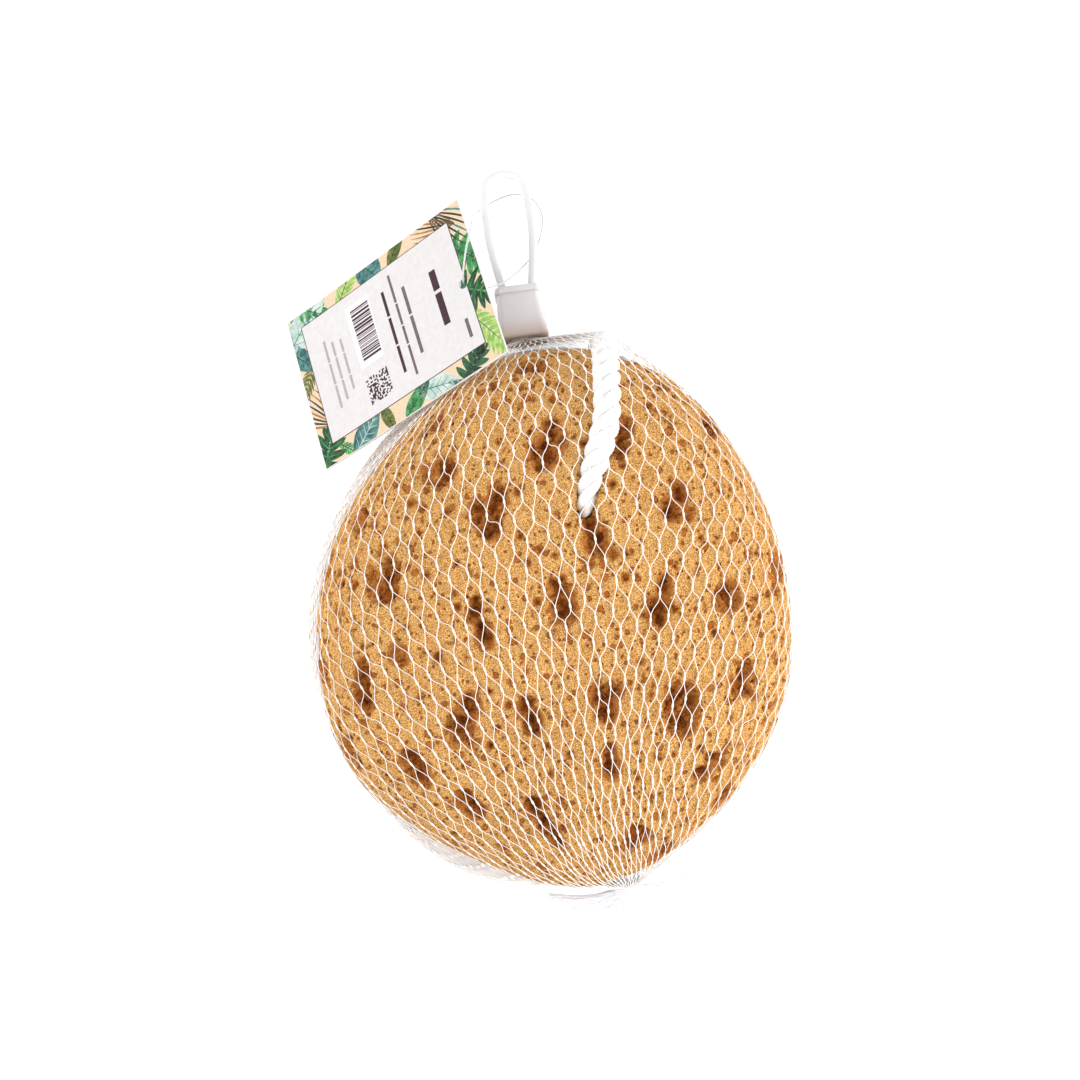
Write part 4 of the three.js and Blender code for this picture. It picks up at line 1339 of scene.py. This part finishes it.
def monstera(art, foot, tip, width, ink, rib):
    """A broad leaf, split into fingers on both sides of its rib."""
    foot, along, side, length = leaf_axes(foot, tip)
    for sign in (1, -1):
        for k, place_along in enumerate(np.linspace(0.08, 0.82, 6)):
            reach = width / 2 * (1.0, 1.12, 1.08, 0.95, 0.78, 0.55)[k]
            lean = (-0.35, 0.0, 0.25, 0.5, 0.8, 1.1)[k]
            out = unit(side * sign + along * lean)
            root = foot + along * length * place_along
            t = np.linspace(0, 1, 8)
            finger = root + np.outer(t * reach, out) + np.outer(t ** 2 * 0.16 * reach, along)
            thick = length * 0.165 * np.array([1.1, 1.08, 1.0, 0.92, 0.86, 0.74, 0.5, 0.12])
            art.strip(ink, finger, thick, 1)
            art.strip(rib, finger[:6], np.linspace(0.34, 0.1, 6), 2)
    end = foot + along * length
    crown = [foot + along * length * 0.75, foot + along * length * 0.9, end]
    art.strip(ink, crown, [width * 0.3, width * 0.2, 0.1], 1)
    art.strip(rib, [foot, (foot + end) / 2, end], [0.55, 0.4, 0.1], 2)


def palm(art, foot, tip, width, ink, rib):
    """A feather-like leaf of narrow leaflets."""
    foot, along, side, length = leaf_axes(foot, tip)
    count = 9
    for k in range(count):
        share = (k + 0.4) / count
        root = foot + along * length * share
        reach = width / 2 * math.sin(math.pi * (0.18 + 0.72 * share)) * 1.15
        for sign in (1, -1):
            t = np.linspace(0, 1, 6)
            out = unit(side * sign + along * 0.75)
            leaflet = root + np.outer(t * reach, out) + np.outer(t ** 2 * reach * 0.22, along)
            art.strip(ink, leaflet, length / count * 0.72 * np.array([0.4, 0.9, 1.0, 0.85, 0.55, 0.1]), 1)
    art.strip(rib, [foot, foot + along * length * 0.5, foot + along * length], [0.5, 0.35, 0.1], 2)


def fan(art, foot, tip, width, ink, rib):
    """Bent thin lines that spread from one foot."""
    foot, along, side, length = leaf_axes(foot, tip)
    count = 8
    for k in range(count):
        spread = (k / (count - 1) - 0.5) * 2
        t = np.linspace(0, 1, 10)
        line = foot + np.outer(t * length * (1 - 0.16 * spread ** 2), along)
        line = line + np.outer(np.sin(t * math.pi / 2) * spread * width / 2, side)
        art.strip(ink if k % 3 else rib, line, 0.62 * np.array([0.3, 0.6, 0.8, 1, 1.1, 1.1, 1, 0.8, 0.55, 0.2]), 1)


def make_print():
    ground = Print("tag_ground")
    ground.holed_box("ground", PRINT_LOW, PRINT_HIGH, 0)
    ground.piece()

    leaves = Print("tag_leaves")
    kinds = dict(blade=blade, monstera=monstera, palm=palm, fan=fan)
    for kind, foot, tip, width, ink, rib in LEAVES:
        kinds[kind](leaves, foot, tip, width, ink, rib)
    leaves.piece()

    panel = Print("tag_panel")
    (a0, a1), (c0, c1) = CARD_PANEL["along"], CARD_PANEL["across"]
    edge = CARD_PANEL["line"]
    panel.holed_box("outline", (a0, c0), (a1, c1), 3)
    panel.holed_box("panel", (a0 + edge, c0 + edge), (a1 - edge, c1 - edge), 4)
    rng = np.random.default_rng(3)
    for along, first, last, height, ink, words in TEXT_BARS:
        jitter = 0.25 / words
        cuts = np.linspace(0, 1, words + 1) + np.r_[0, rng.uniform(-jitter, jitter, words - 1), 0]
        for low, high in zip(cuts[:-1], cuts[1:]):
            start, end = first + (last - first) * low, first + (last - first) * high - min(height * 0.55, 1.2)
            panel.box(ink, (along - height / 2, start), (along + height / 2, end), 5)
    panel.box("label", *BAR_PATTERN["label"], 5, steps=8)
    place_across, last = BAR_PATTERN["across"]
    while place_across < last:
        thick, gap = rng.choice([0.28, 0.28, 0.56, 0.84]), rng.choice([0.28, 0.28, 0.56])
        panel.box("dark_text", (BAR_PATTERN["along"][0], place_across),
                  (BAR_PATTERN["along"][1], place_across + thick), 6)
        place_across += thick + gap
    cells = BLOCK_PATTERN["cells"]
    (low, high), left = BLOCK_PATTERN["along"], BLOCK_PATTERN["across"]
    size = (high - low) / cells
    filled = rng.random((cells, cells)) < 0.5
    for i, j in zip(*np.nonzero(filled)):
        panel.box("dark_text", (low + i * size, left + j * size),
                  (low + (i + 1) * size, left + (j + 1) * size), 6)
    panel.piece()


# ---- Floor and light ----


def area_light(name, location, size, power, colour):
    data = bpy.data.lights.new(name, "AREA")
    data.shape, data.size, data.energy, data.color = "DISK", size, power, colour
    light = bpy.data.objects.new(name, data)
    bpy.context.scene.collection.objects.link(light)
    light.location = location
    light.rotation_euler = (Vector(LIGHT_TARGET) - Vector(location)).to_track_quat("-Z", "Y").to_euler()


def make_stage():
    n = Nodes("pale_floor", Roughness=0.9, Emission_Strength=FLOOR_GLOW, Emission_Color=(1, 1, 1, 1))
    n.link(n.mix(n.noise(3, 2), (0.93, 0.93, 0.93), (0.94, 0.94, 0.94)), "Base Color")
    bpy.ops.mesh.primitive_plane_add(size=FLOOR_SIZE, location=(0, 0, FLOOR_LEVEL))
    floor = bpy.context.object
    floor.name = "floor"
    floor.data.materials.append(n.material)

    world = bpy.data.worlds.new("studio")
    world.use_nodes = True
    sky = world.node_tree.nodes["Background"].inputs
    sky["Color"].default_value, sky["Strength"].default_value = (1, 1, 1, 1), SKY_STRENGTH
    bpy.context.scene.world = world
    for name, settings in LIGHTS.items():
        area_light(name, *settings)
    bpy.context.scene.view_settings.view_transform = "Standard"


make_foam()
make_pad()
make_rope()
make_net()
make_tie()
make_hanger()
make_card()
make_print()
make_stage()
